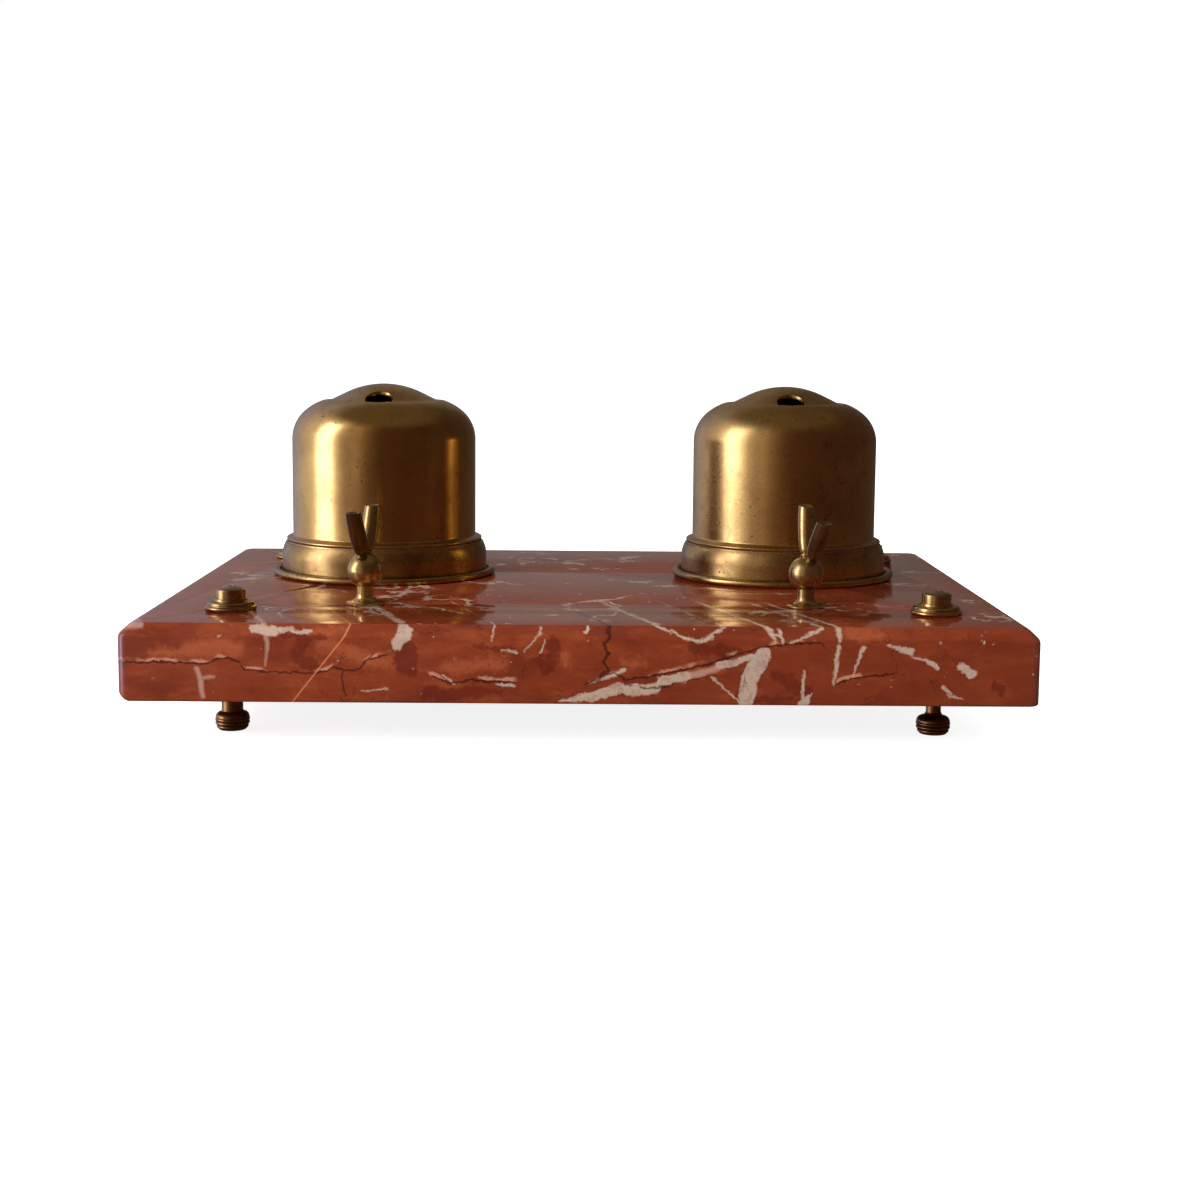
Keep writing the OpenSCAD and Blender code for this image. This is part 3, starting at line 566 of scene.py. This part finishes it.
def brass_material(name, axis, bright, tarnish, amount=0.5, spots=0.5, polish=0.25, marks=0.5,
                   bump=0.12, metal=1.0, stains=()):
    """Old brass turned round the upright axis through axis, with named stains on it."""
    made, sh, principled, place = material(name)
    surface = sh.add("ShaderNodeGroup", node_tree=PATINA, inputs={
        "Place": place, "Axis": tuple(v / MM for v in axis), "Bright": bright,
        "Tarnish": tarnish, "Tarnish amount": amount, "Spots": spots, "Polish": polish,
        "Lathe marks": marks})
    colour = surface.outputs["Colour"]
    rough = surface.outputs["Roughness"]
    for centre, size, tint, strength in stains:
        ragged = sh.vector("ADD", place, sh.vector("SCALE", sh.vector(
            "SUBTRACT", sh.noise(place, 0.5, 3, 0.6, out="Color"), (0.5, 0.5, 0.5)), scale=2.0))
        away = sh.vector("LENGTH", sh.vector("DIVIDE", sh.vector("SUBTRACT", ragged, centre), size))
        mask = sh.math("MULTIPLY", sh.step(away, 1.0, 0.7), strength)
        colour = sh.mix(mask, colour, tint)
        rough = sh.math("ADD", rough, sh.math("MULTIPLY", mask, 0.15))
    sh.feed(principled.inputs["Base Color"], colour)
    sh.feed(principled.inputs["Roughness"], rough)
    principled.inputs["Metallic"].default_value = metal
    relief = sh.add("ShaderNodeBump", inputs={
        "Height": surface.outputs["Height"], "Strength": bump, "Distance": 0.0002})
    sh.feed(principled.inputs["Normal"], relief.outputs[0])
    return made


OLIVE = srgb(196, 160, 92)
GOLD = srgb(206, 166, 92)
BROWN = srgb(150, 108, 62)
DEEP = srgb(94, 68, 38)


def plain_steel():
    return brass_material("steel", (0, 0, 0), srgb(176, 176, 174), srgb(96, 94, 92), 0.5, 0.3,
                          0.34, 0.6)


def cork_material():
    made, sh, principled, place = material("cork")
    cells = sh.add("ShaderNodeTexVoronoi", inputs={"Vector": place, "Scale": 0.9})
    colour = sh.mix(sh.noise(place, 0.7, 4, 0.7), srgb(120, 82, 50), srgb(184, 140, 96))
    colour = sh.mix(sh.step(cells.outputs["Distance"], 0.3, 0.12), colour, srgb(84, 52, 32))
    sh.feed(principled.inputs["Base Color"], colour)
    principled.inputs["Roughness"].default_value = 0.85
    bump = sh.add("ShaderNodeBump", inputs={"Height": cells.outputs["Distance"], "Strength": 0.4,
                                            "Distance": 0.0003})
    sh.feed(principled.inputs["Normal"], bump.outputs[0])
    return made


def felt_material():
    made, sh, principled, place = material("felt")
    fibres = sh.noise(sh.vector("MULTIPLY", place, (1, 1, 3)), 2.4, 4, 0.7)
    sh.feed(principled.inputs["Base Color"], sh.mix(fibres, srgb(34, 24, 18), srgb(74, 56, 42)))
    principled.inputs["Roughness"].default_value = 0.95
    bump = sh.add("ShaderNodeBump", inputs={"Height": fibres, "Strength": 0.5, "Distance": 0.0002})
    sh.feed(principled.inputs["Normal"], bump.outputs[0])
    return made


def glass_material():
    made, sh, principled, place = material("pressed_glass")
    swirl = sh.noise(place, 0.12, 3, 0.5)
    sh.feed(principled.inputs["Base Color"], sh.mix(swirl, srgb(214, 232, 226), srgb(240, 248, 244)))
    principled.inputs["Roughness"].default_value = 0.04
    principled.inputs["Transmission Weight"].default_value = 1.0
    principled.inputs["IOR"].default_value = 1.5
    bump = sh.add("ShaderNodeBump", inputs={"Height": swirl, "Strength": 0.15, "Distance": 0.0006})
    sh.feed(principled.inputs["Normal"], bump.outputs[0])
    return made


# Shapes, in millimetres from the part's own foot

BELL_R = 33.4
BELL_WALL = 1.2
LIP_R = 35.7
CORNER_R = 13.6
CROWN_R = 20.5
CREST_R = 3
DOME_R = 31
DOME_SLOPE = 26
DOME_RISE = 6
WALL_TOP = 36.5
PEN_HOLE_R = 4.9
PEN_HOLE_OFFSET = 17.2
RING_R = 37.4
RING_H = 11.844
RING_IN = 34.2
FOOT_H = 15.3
FOOT_R = 5.5
BUN_H = 5.8

# Radius of the feet's necks and of their coves
NECKS = {"left": (3.4, 0.7), "right": (2.4, 1.7)}
BALL_HEIGHT = 11
BALL_R = 5.75
PRONG_SEAT = 5.427
PRONG_REACH = 22.4
PRONG_ANGLE = 26
WAIST_R = 1.4
BELLY_R = 2.7
TIP_R = 2.45
BELLY_SHARE = 0.55
TIP_DISH = 0.5
SPOTFACE_R = 2.05
SPIGOT_BORE_R = 0.95
FORK_YAW = 12
FORK_LEAN = {"left": 1.5, "right": 6}
FORK_TILT = {"left": 2, "right": 10}

# Roughness of each bell's polish
BELL_POLISH = {"left": 0.2, "right": 0.26}


def toward(degrees, length=1.0):
    """A step of some length at an angle from the radius, as (radius, height)."""
    return length * Vector((math.cos(math.radians(degrees)), math.sin(math.radians(degrees))))


def bell_arcs(wall):
    """The arcs over the bell's wall, from its straight side to the top of the dome."""
    corner = Vector((BELL_R - CORNER_R, WALL_TOP))
    crown = corner + toward(50, CORNER_R - CROWN_R)
    crest = crown + toward(70, CROWN_R - CREST_R)
    dome = Vector((0, crest.y + CREST_R + DOME_RISE - DOME_R))
    flank_out = toward(90 - DOME_SLOPE)
    turn = 90 - DOME_SLOPE + math.degrees(math.acos(((dome - crest).dot(flank_out) + DOME_R) / CREST_R))
    groove = crest + toward(turn, CREST_R) - wall * flank_out
    start = dome + toward(90 - DOME_SLOPE, DOME_R - wall)
    flank = [groove.lerp(start, t) for t in (0.3, 0.6)]
    if wall:
        flank = [groove] + flank
    return (arc(corner, CORNER_R - wall, 0, 50, 20) + arc(crown, CROWN_R - wall, 50, 70, 10)[1:]
            + arc(crest, CREST_R - wall, 70, turn, 12)[1:] + [tuple(point) for point in flank]
            + arc(dome, DOME_R - wall, 90 - DOME_SLOPE, 90, 16))


def bell_outline():
    edge = 0.4
    cove = 0.8
    turn = math.radians(65)
    slope = (LIP_R - BELL_R - (edge + cove) * (1 - math.cos(turn))) / math.sin(turn)
    lip_h = edge + (edge + cove) * math.sin(turn) + slope * math.cos(turn)
    lip = arc((LIP_R - edge, edge), edge, -80, 65, 10)
    hollow = arc((BELL_R + cove, lip_h), cove, 245, 180, 10)
    inside = [(BELL_R - BELL_WALL, h) for h in (0.3, 5, 20, 32)]
    outside = [(BELL_R, h) for h in (10, 18, 26, 32)]
    return (list(reversed(bell_arcs(BELL_WALL))) + list(reversed(inside)) + [(LIP_R - 2.6, 0)]
            + [(LIP_R - edge, 0)] + lip + hollow + outside + bell_arcs(0))


def ring_outline():
    bead = arc((RING_R + 1.95, 1.25), 1.25, -90, 200, 28)
    shoulder = arc((RING_R - 9.6, 6.9), 9.6, 0, 30.6, 14)
    bore = BELL_R - BELL_WALL
    return ([(RING_IN, 0)] + bead + [(RING_R + 0.2, 0.69), (RING_R, 0.89), (RING_R, 3.5)]
            + shoulder + [(35.86, RING_H), (bore, RING_H), (bore, RING_H - 1.2),
                          (RING_IN, RING_H - 3.2), (RING_IN, 0)])


def button_outline():
    return ([(0, 0)] + arc((7.6, 0.6), 0.6, -90, 62, 10) + arc((7.75, 1.62), 0.42, -100, -176, 5)
            + arc((6.55, 1.7), 0.9, 6, 76, 10)
            + [(5.3, 2.75), (5.15, 3.1), (5.15, 3.45), (4.65, 3.5)]
            + arc((4.15, 6.0), 0.5, 0, 64, 7) + [(3.3, 6.78), (2.0, 7.2), (0.9, 7.5)]
            + arc((0, 6.6), 1.0, 40, 90, 6))


def foot_outline(neck_r, cove_r):
    pitch = BUN_H * 0.2
    rib_r = BUN_H * 0.11
    shoulder_r = BUN_H * 0.29
    ribs = []
    for i, inset in enumerate((0.45, 0.05, 0)):
        ribs += arc((FOOT_R - inset - rib_r, (i + 1) * pitch), rib_r, -60, 60, 8)
    return ([(0, 0), (FOOT_R - 1.9, 0), (FOOT_R - 1.3, 0.1), (FOOT_R - 1, 0.35)] + ribs
            + arc((FOOT_R - 0.15 - shoulder_r, BUN_H - shoulder_r), shoulder_r, 0, 75, 14)
            + arc((neck_r + cove_r, BUN_H + cove_r), cove_r, -100, -180, 12)
            + arc((neck_r + cove_r, FOOT_H - cove_r * math.sin(math.radians(50))), cove_r, 180, 130, 8)
            + [(0, FOOT_H)])


def post_outline():
    stem_r = 2.75
    meets = math.degrees(math.acos(stem_r / BALL_R))
    return ([(0, 0), (6.0, 0), (6.2, 0.2), (6.2, 0.55), (6.05, 0.7), (stem_r + 2.4, 1.0)]
            + arc((stem_r + 2.4, 3.4), 2.4, -90, -180, 12)
            + arc((0, BALL_HEIGHT), BALL_R, -meets, 90, 24))


def prong_outline():
    """The prong before its tip is cut level: a quick swell to the belly, then a slow taper."""
    waist_z = PRONG_SEAT + 1.1
    body = []
    for i in range(25):
        t = (i / 24) ** 1.6
        if t < BELLY_SHARE:
            radius = WAIST_R + (BELLY_R - WAIST_R) * math.sqrt(1 - (1 - t / BELLY_SHARE) ** 2)
        else:
            radius = BELLY_R - (BELLY_R - TIP_R) * ((t - BELLY_SHARE) / (1 - BELLY_SHARE)) ** 2
        body.append((radius, waist_z + (PRONG_REACH - waist_z) * t))
    top_z = PRONG_REACH + BELLY_R * math.tan(math.radians(PRONG_ANGLE))
    return ([(0, PRONG_SEAT - 2), (0.9, PRONG_SEAT - 2), (0.9, PRONG_SEAT), (1.75, PRONG_SEAT)]
            + arc((1.5, PRONG_SEAT + 0.4), 0.4, -80, 80, 8) + body + [(TIP_R, top_z), (0, top_z)])


def cut_tip(prong):
    """Cuts a front prong's tip level, once it stands in its fork, and dishes it."""
    reach = PRONG_REACH * MM
    level = (Matrix.Translation((0, 0, reach))
             @ Matrix.Rotation(math.radians(-PRONG_ANGLE), 4, "X"))
    dish_w = TIP_R - 0.4
    dish_r = (dish_w ** 2 + TIP_DISH ** 2) / (2 * TIP_DISH)
    deselect()
    bpy.ops.mesh.primitive_cube_add(size=1)
    block = bpy.context.object
    block.matrix_world = level @ Matrix.Translation((0, 0, 5 * MM)) @ Matrix.Scale(10 * MM, 4)
    finish_with(prong, "BOOLEAN", object=block, operation="DIFFERENCE", solver="EXACT")
    bpy.data.objects.remove(block)
    deselect()
    bpy.ops.mesh.primitive_uv_sphere_add(segments=96, ring_count=96, radius=dish_r * MM)
    ball = bpy.context.object
    ball.matrix_world = (level @ Matrix.Translation((0, 0, (dish_r - TIP_DISH) * MM))
                         @ Matrix.Rotation(math.radians(90), 4, "X"))
    finish_with(prong, "BOOLEAN", object=ball, operation="DIFFERENCE", solver="EXACT")
    bpy.data.objects.remove(ball)
    finish_with(prong, "BEVEL", width=0.2 * MM, segments=3, limit_method="ANGLE",
                angle_limit=math.radians(40))


def select_faces(piece, test):
    """Selects the faces whose centre and normal pass the test, in edit mode."""
    activate(piece)
    bpy.ops.object.mode_set(mode="EDIT")
    bpy.ops.mesh.select_mode(type="FACE")
    bpy.ops.mesh.select_all(action="DESELECT")
    shape = bmesh.from_edit_mesh(piece.data)
    for face in shape.faces:
        face.select_set(test(face.calc_center_median(), face.normal))
    shape.select_flush_mode()
    bmesh.update_edit_mesh(piece.data)


# The slab's edges, in millimetres: its four corners, the chamfer above and the arris below
SLAB_CORNER = 3
CHAMFER = 3.4
ARRIS = 0.5

# How far every edge is eased, how far wear has rounded those at the two ends, what share of
# that the lower left one has, and how far in from an end wear reaches
EASED = 0.18
WORN = 1.5
WORN_BELOW = 0.75
END_ZONE = 10
LEFT_EASE = 1.7

# Radii and depth of the slab's holes and pockets, and the radius of the rods' seats in brass
WELL_BORE = 2.8
ROD_BORE = 1.8
WELL_POCKET = 9
FORK_POCKET = 6
POCKET_DEPTH = 7
ROD_SEAT = 1.55


def round_edges(slab):
    """Eases every sharp edge, and rounds the worn ones at the slab's two ends further."""
    end_zone = SLAB_WIDTH / 2 - END_ZONE * MM
    activate(slab)
    shape = bmesh.new()
    shape.from_mesh(slab.data)
    shares = []
    for edge in shape.edges:
        middle_of = (edge.verts[0].co + edge.verts[1].co) / 2
        run = (edge.verts[1].co - edge.verts[0].co).normalized()
        share = 0.0
        if edge.calc_face_angle(0) > math.radians(25):
            share = EASED / WORN
            if middle_of.z > SLAB_TOP - 4 * MM and abs(middle_of.x) > end_zone:
                share += (1 - share) * run.y ** 2
            elif middle_of.z < slab_low.z + 3 * MM and middle_of.x < -end_zone:
                share += (WORN_BELOW - share) * run.y ** 2
        shares.append(share)
    shape.free()
    weights = slab.data.attributes.new("bevel_weight_edge", "FLOAT", "EDGE")
    weights.data.foreach_set("value", shares)
    finish_with(slab, "BEVEL", width=WORN * MM, segments=4, limit_method="WEIGHT",
                use_clamp_overlap=False)


def marble_slab():
    """A sawn block with rounded corners, a wide chamfer above and an eased edge below."""
    chamfer = CHAMFER * MM
    arris = ARRIS * MM
    deselect()
    block = Vector((SLAB_WIDTH, SLAB_DEPTH, SLAB_THICK - chamfer - arris))
    middle_z = slab_low.z + arris + block.z / 2
    bpy.ops.mesh.primitive_cube_add(size=1, location=(0, 0, middle_z))
    slab = bpy.context.object
    slab.name = "slab"
    slab.data.name = "slab"
    slab.scale = block
    place_in_mesh(slab)
    bpy.ops.object.mode_set(mode="EDIT")
    bpy.ops.mesh.select_mode(type="EDGE")
    bpy.ops.mesh.select_all(action="DESELECT")
    shape = bmesh.from_edit_mesh(slab.data)
    for edge in shape.edges:
        edge.select_set(abs(edge.verts[0].co.z - edge.verts[1].co.z) > arris)
    shape.select_flush_mode()
    bpy.ops.mesh.bevel(offset=SLAB_CORNER * MM, segments=8, affect="EDGES")
    for way, rise in ((1, chamfer), (-1, arris)):
        select_faces(slab, lambda centre, normal: normal.z * way > 0.9)
        bpy.ops.mesh.extrude_region_move(TRANSFORM_OT_translate={"value": (0, 0, way * rise)})
        bpy.ops.transform.resize(value=(1 - 2 * rise / SLAB_WIDTH, 1 - 2 * rise / SLAB_DEPTH, 1),
                                 center_override=(0, 0, 0))
    bpy.ops.object.mode_set(mode="OBJECT")
    corner_start = SLAB_CORNER * MM - SLAB_WIDTH / 2
    for vertex in slab.data.vertices:
        if vertex.co.z < middle_z:
            outward = (corner_start - vertex.co.x) / (SLAB_CORNER * MM)
            ease = LEFT_EASE * MM * max(0, min(1, outward))
            if vertex.co.z < slab_low.z + arris / 2:
                vertex.co.x += ease
            else:
                vertex.co.z += ease
    round_edges(slab)
    wells = [middle(side + "_liner") for side in SIDES]
    forks = [middle(side + "_fork_post") for side in SIDES]
    corners = [middle(end + "_" + side + "_foot") for end in ENDS for side in SIDES]
    low = slab_low.z - MM
    pocket_top = slab_low.z + POCKET_DEPTH * MM
    drilled(slab, wells, WELL_BORE * MM, low, SLAB_TOP + MM)
    drilled(slab, forks + corners, ROD_BORE * MM, low, SLAB_TOP + MM)
    drilled(slab, wells, WELL_POCKET * MM, low, pocket_top)
    drilled(slab, forks, FORK_POCKET * MM, low, pocket_top)
    finish_with(slab, "BEVEL", width=EASED * MM, segments=3, limit_method="ANGLE",
                angle_limit=math.radians(30))
    smooth(slab, 28)
    hand_over(slab, "marble_slab", marble_material())


marble_slab()

bell_shape = turned("bell", bell_outline(), 160)
drilled(bell_shape, [(0, -PEN_HOLE_OFFSET * MM)], PEN_HOLE_R * MM, 40 * MM, 80 * MM, 64)
finish_with(bell_shape, "BEVEL", width=0.14 * MM, segments=2, limit_method="ANGLE",
            angle_limit=math.radians(40))
smooth(bell_shape, 30)
ring_shape = turned("ring", ring_outline(), 160)
smooth(ring_shape, 34)
button_shape = turned("button", button_outline(), 96)
drilled(button_shape, [(0, 0)], ROD_SEAT * MM, -MM, 4.7 * MM, 24)
smooth(button_shape, 34)
post_shape = turned("post", post_outline(), 96)
prong_shape = turned("prong", prong_outline(), 64)
cut_tip(prong_shape)
smooth(prong_shape, 34)

for side, sign in SIDES.items():
    axis = middle(side + "_liner")
    at = (axis.x, axis.y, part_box(side + "_bell")[0].z)
    stains = []
    if side == "left":
        stains = [((-52, 4, 56), (4, 4, 12), srgb(120, 84, 46), 0.7)]
    bell = copy_of(bell_shape, side + "_bell_cover", at)
    hand_over(bell, side + "_bell", brass_material(
        side + "_bell_brass", axis, GOLD, BROWN, 0.45, 0.6, BELL_POLISH[side], 0.5,
        stains=stains))
    ring = copy_of(ring_shape, side + "_cast_ring", (axis.x, axis.y, SLAB_TOP))
    hand_over(ring, side + "_base_ring", brass_material(
        side + "_ring_brass", axis, srgb(192, 156, 86), srgb(118, 84, 44), 0.65, 0.8, 0.25, 0.4))

    fork = middle(side + "_fork_post")
    foot = Vector((fork.x, fork.y, SLAB_TOP))
    fork_brass = brass_material(side + "_fork_brass", foot, OLIVE, DEEP, 0.6, 0.6, 0.22, 0.6,
                                metal=0.97)
    # The front prongs get a darker copy of the fork brass: painted shade for the dark room their fronts
    # face, over some tarnish.
    darkened_front_brass = brass_material(side + "_front_prong_shaded_brass", foot, srgb(124, 98, 50),
                                srgb(72, 56, 29), 0.7, 0.6, 0.2, 0.6, metal=0.92)
    prong_brass = {"front": darkened_front_brass, "rear": fork_brass}
    tilt = math.radians(FORK_TILT[side])
    lean = math.radians(FORK_LEAN[side] * sign)
    yaw = math.radians(FORK_YAW * sign)
    head = (Matrix.Translation(foot + Vector((0, 0, BALL_HEIGHT * MM)))
            @ Matrix.Rotation(lean, 4, "Y") @ Matrix.Rotation(tilt, 4, "X")
            @ Matrix.Rotation(yaw, 4, "Z"))
    post = copy_of(post_shape, side + "_post", foot)
    drilled(post, [foot], ROD_SEAT * MM, foot.z - MM, foot.z + 8.6 * MM, 24)
    for end, turn in ENDS.items():
        way = head @ Matrix.Rotation(math.radians(-PRONG_ANGLE * turn), 4, "X")
        deselect()
        bpy.ops.mesh.primitive_cylinder_add(vertices=32, radius=SPOTFACE_R * MM, depth=6 * MM)
        seat = bpy.context.object
        seat.matrix_world = way @ Matrix.Translation((0, 0, (PRONG_SEAT + 3) * MM))
        finish_with(post, "BOOLEAN", object=seat, operation="DIFFERENCE", solver="EXACT")
        narrow = SPIGOT_BORE_R / SPOTFACE_R
        seat.data.transform(Matrix.Diagonal((narrow, narrow, 1, 1)))
        seat.matrix_world = way @ Matrix.Translation((0, 0, (PRONG_SEAT + 0.8) * MM))
        finish_with(post, "BOOLEAN", object=seat, operation="DIFFERENCE", solver="EXACT")
        bpy.data.objects.remove(seat)
        prong = copy_of(prong_shape, side + "_" + end + "_tulip")
        prong.matrix_world = way @ Matrix.Rotation(math.pi if end == "rear" else 0, 4, "Z")
        place_in_mesh(prong)
        hand_over(prong, side + "_" + end + "_prong", prong_brass[end])
    smooth(post, 34)
    hand_over(post, side + "_fork_post", fork_brass)

    foot_shape = turned("foot", foot_outline(*NECKS[side]), 96)
    drilled(foot_shape, [(0, 0)], ROD_SEAT * MM, 6.6 * MM, 17 * MM, 24)
    smooth(foot_shape, 34)
    for end in ENDS:
        corner = middle(end + "_" + side + "_foot")
        place = (corner.x, corner.y, SLAB_TOP)
        button = copy_of(button_shape, end + "_" + side + "_cap", place)
        # A paler, rougher patch over each cap's top.
        pale_cap_top = ((corner.x / MM, corner.y / MM, SLAB_TOP / MM + 7.3), (4.4, 4.4, 1.1),
                    srgb(206, 168, 130), 0.8)
        hand_over(button, end + "_" + side + "_button", brass_material(
            end + "_" + side + "_button_brass", corner, OLIVE, DEEP, 0.55, 0.6, 0.24, 0.5,
            stains=[pale_cap_top]))
        bun = copy_of(foot_shape, end + "_" + side + "_bun", (corner.x, corner.y, 0))
        hand_over(bun, end + "_" + side + "_foot", brass_material(
            end + "_" + side + "_foot_brass", corner, BROWN, DEEP, 0.6, 0.6, 0.34, 0.5))
    bpy.data.objects.remove(foot_shape)

for shape in (bell_shape, ring_shape, button_shape, post_shape, prong_shape):
    bpy.data.objects.remove(shape)

# The nodes that keep their own shape
steel = plain_steel()
cork = cork_material()
felt = felt_material()
glass = glass_material()
kept = {name: steel for name in ("well_screws", "well_washers", "well_nuts", "fork_studs",
                                 "fork_washers", "fork_nuts", "tie_rods")}
for side in SIDES:
    kept[side + "_pot_pad"] = cork
    kept[side + "_slip_ring"] = felt
    kept[side + "_ink_pot"] = glass
    kept[side + "_liner"] = brass_material(side + "_liner_brass", middle(side + "_liner"), GOLD,
                                           BROWN, 0.5, 0.4, 0.3, 0.5)
for name, finish in kept.items():
    mesh = frame["nodes"][name].data
    if mesh.materials:
        for i in range(len(mesh.materials)):
            mesh.materials[i] = finish
    else:
        mesh.materials.append(finish)


# Studio: a white room to the camera, and a tent that only the polish reflects

# Light of the room's walls by bearing, in degrees to the left of the part's front, then of
# its window, ceiling and desk, the floor's lift for the camera and the level of soft light
ROOM_WALLS = [
    (-180, (0.22, 0.19, 0.17)), (-170, (0.16, 0.14, 0.12)), (-160, (0.09, 0.07, 0.06)),
    (-125, (0.07, 0.045, 0.04)), (-30, (0.07, 0.035, 0.03)),
    (2, (0.085, 0.045, 0.036)), (14, (0.17, 0.11, 0.095)), (24, (0.3, 0.21, 0.21)),
    (32, (0.6, 0.5, 0.54)), (39, (0.4, 0.32, 0.36)), (50, (0.5, 0.45, 0.52)),
    (60, (1.1, 1.1, 1.4)), (92, (1.05, 1.1, 1.35)), (118, (0.7, 0.72, 1.0)),
    (145, (0.42, 0.44, 0.7)), (165, (0.24, 0.22, 0.22)), (180, (0.22, 0.19, 0.17))]
WINDOW = (4.6, 4.8, 7.4, 1)
CEILING = (0.14, 0.11, 0.085, 1)
DESK = (0.07, 0.045, 0.035, 1)
FLOOR_LIFT = 0.86
ROOM_LEVEL = 0.52


def wall_light():
    """The room in the polish, by its bearing from the part and its height."""
    made = bpy.data.materials.new("room_in_the_polish")
    made.use_nodes = True
    made.node_tree.nodes.clear()
    sh = Shader(made.node_tree)
    place = sh.vector("NORMALIZE", sh.add("ShaderNodeTexCoord").outputs["Object"])
    split = sh.add("ShaderNodeSeparateXYZ", inputs={"Vector": place})
    left = sh.math("MULTIPLY", split.outputs["X"], -1.0)
    front = sh.math("MULTIPLY", split.outputs["Y"], -1.0)
    bearing = sh.math("DEGREES", sh.math("ARCTAN2", left, front))
    rise = sh.math("DEGREES", sh.math("ARCSINE", split.outputs["Z"]))

    def between(value, a, b, soft):
        return sh.math("MULTIPLY", sh.step(value, a - soft, a + soft), sh.step(value, b + soft, b - soft))

    walls = sh.add("ShaderNodeValToRGB", inputs={
        "Fac": sh.math("MULTIPLY_ADD", bearing, 1 / 360, 0.5)})
    ramp = walls.color_ramp
    for degrees, tint in ROOM_WALLS[1:-1]:
        ramp.elements.new(degrees / 360 + 0.5).color = (*tint, 1)
    ramp.elements[0].color = (*ROOM_WALLS[0][1], 1)
    ramp.elements[len(ramp.elements) - 1].color = (*ROOM_WALLS[-1][1], 1)
    tone = walls.outputs["Color"]
    window = sh.math("MULTIPLY", between(bearing, 62, 88, 1.5), between(rise, -14, 42, 2.5))
    tone = sh.mix(window, tone, WINDOW)
    tone = sh.mix(sh.step(rise, 40, 60), tone, CEILING)
    tone = sh.mix(sh.step(rise, -8, -20), tone, DESK)
    glow = sh.add("ShaderNodeEmission", inputs={"Color": tone, "Strength": 1.0})
    end = sh.add("ShaderNodeOutputMaterial")
    sh.feed(end.inputs["Surface"], glow.outputs[0])
    return made


deselect()
bpy.ops.mesh.primitive_uv_sphere_add(segments=64, ring_count=32, radius=3)
tent = bpy.context.object
tent.name = "light_tent"
tent.data.materials.append(wall_light())
tent.visible_camera = False
tent.visible_diffuse = False
tent.visible_transmission = False
tent.visible_shadow = False
tent.visible_volume_scatter = False

deselect()
bpy.ops.mesh.primitive_plane_add(size=24)
floor = bpy.context.object
floor.name = "floor"
paper = bpy.data.materials.new("white_floor")
paper.use_nodes = True
paper.node_tree.nodes.clear()
sh = Shader(paper.node_tree)
matt = sh.add("ShaderNodeBsdfDiffuse", inputs={"Color": (0.8, 0.8, 0.8, 1)})
seen = sh.add("ShaderNodeLightPath").outputs["Is Camera Ray"]
lift = sh.add("ShaderNodeEmission", inputs={"Color": (1, 1, 1, 1),
                                            "Strength": sh.math("MULTIPLY", seen, FLOOR_LIFT)})
both = sh.add("ShaderNodeAddShader")
sh.feed(both.inputs[0], matt.outputs[0])
sh.feed(both.inputs[1], lift.outputs[0])
end = sh.add("ShaderNodeOutputMaterial")
sh.feed(end.inputs["Surface"], both.outputs[0])
floor.data.materials.append(paper)
floor.visible_glossy = False

world = bpy.data.worlds.new("studio")
bpy.context.scene.world = world
world.use_nodes = True
world.node_tree.nodes.clear()
sh = Shader(world.node_tree)
path = sh.add("ShaderNodeLightPath")
direct = sh.math("MAXIMUM", path.outputs["Is Camera Ray"], path.outputs["Is Glossy Ray"])
direct = sh.math("MAXIMUM", direct, path.outputs["Is Transmission Ray"])
level = sh.math("MULTIPLY_ADD", direct, 1 - ROOM_LEVEL, ROOM_LEVEL)
air = sh.add("ShaderNodeBackground", inputs={"Color": (1, 1, 1, 1), "Strength": level})
end = sh.add("ShaderNodeOutputWorld")
sh.feed(end.inputs["Surface"], air.outputs[0])


def soft_lamp(name, place, target, size, power):
    deselect()
    bpy.ops.object.light_add(type="AREA", location=place)
    lamp = bpy.context.object
    lamp.name = name
    lamp.data.size = size
    lamp.data.energy = power
    lamp.rotation_euler = (Vector(target) - Vector(place)).to_track_quat("-Z", "Y").to_euler()
    lamp.visible_glossy = False
    return lamp


soft_lamp("key_lamp", (-1.3, -1.1, 1.0), (-0.02, -0.05, 0.03), 0.9, 34)
soft_lamp("top_lamp", (-0.3, -0.5, 1.6), (0, -0.05, 0.03), 1.0, 11)

# Camera
CAMERA_PLACE = Vector((0.00044, -0.63995, 0.12624))
YAW, PITCH, ROLL = 0.0098, -0.1175, 0.0085
LENS = 54.36
SHIFT = -50 / 1200
ahead = Vector((math.sin(YAW) * math.cos(PITCH), math.cos(YAW) * math.cos(PITCH), math.sin(PITCH)))
across = Vector((math.cos(YAW), -math.sin(YAW), 0))
up = across.cross(ahead)
right = math.cos(ROLL) * across + math.sin(ROLL) * up
top = math.cos(ROLL) * up - math.sin(ROLL) * across
turn = Matrix((right, top, -ahead)).transposed().to_4x4()
deselect()
bpy.ops.object.camera_add()
camera = bpy.context.object
camera.matrix_world = Matrix.Translation(CAMERA_PLACE) @ turn
camera.data.sensor_width = 36
camera.data.lens = LENS
camera.data.shift_y = SHIFT
camera.data.clip_start = 0.01
camera.data.clip_end = 50
bpy.context.scene.camera = camera
bpy.context.scene.view_settings.view_transform = "Standard"
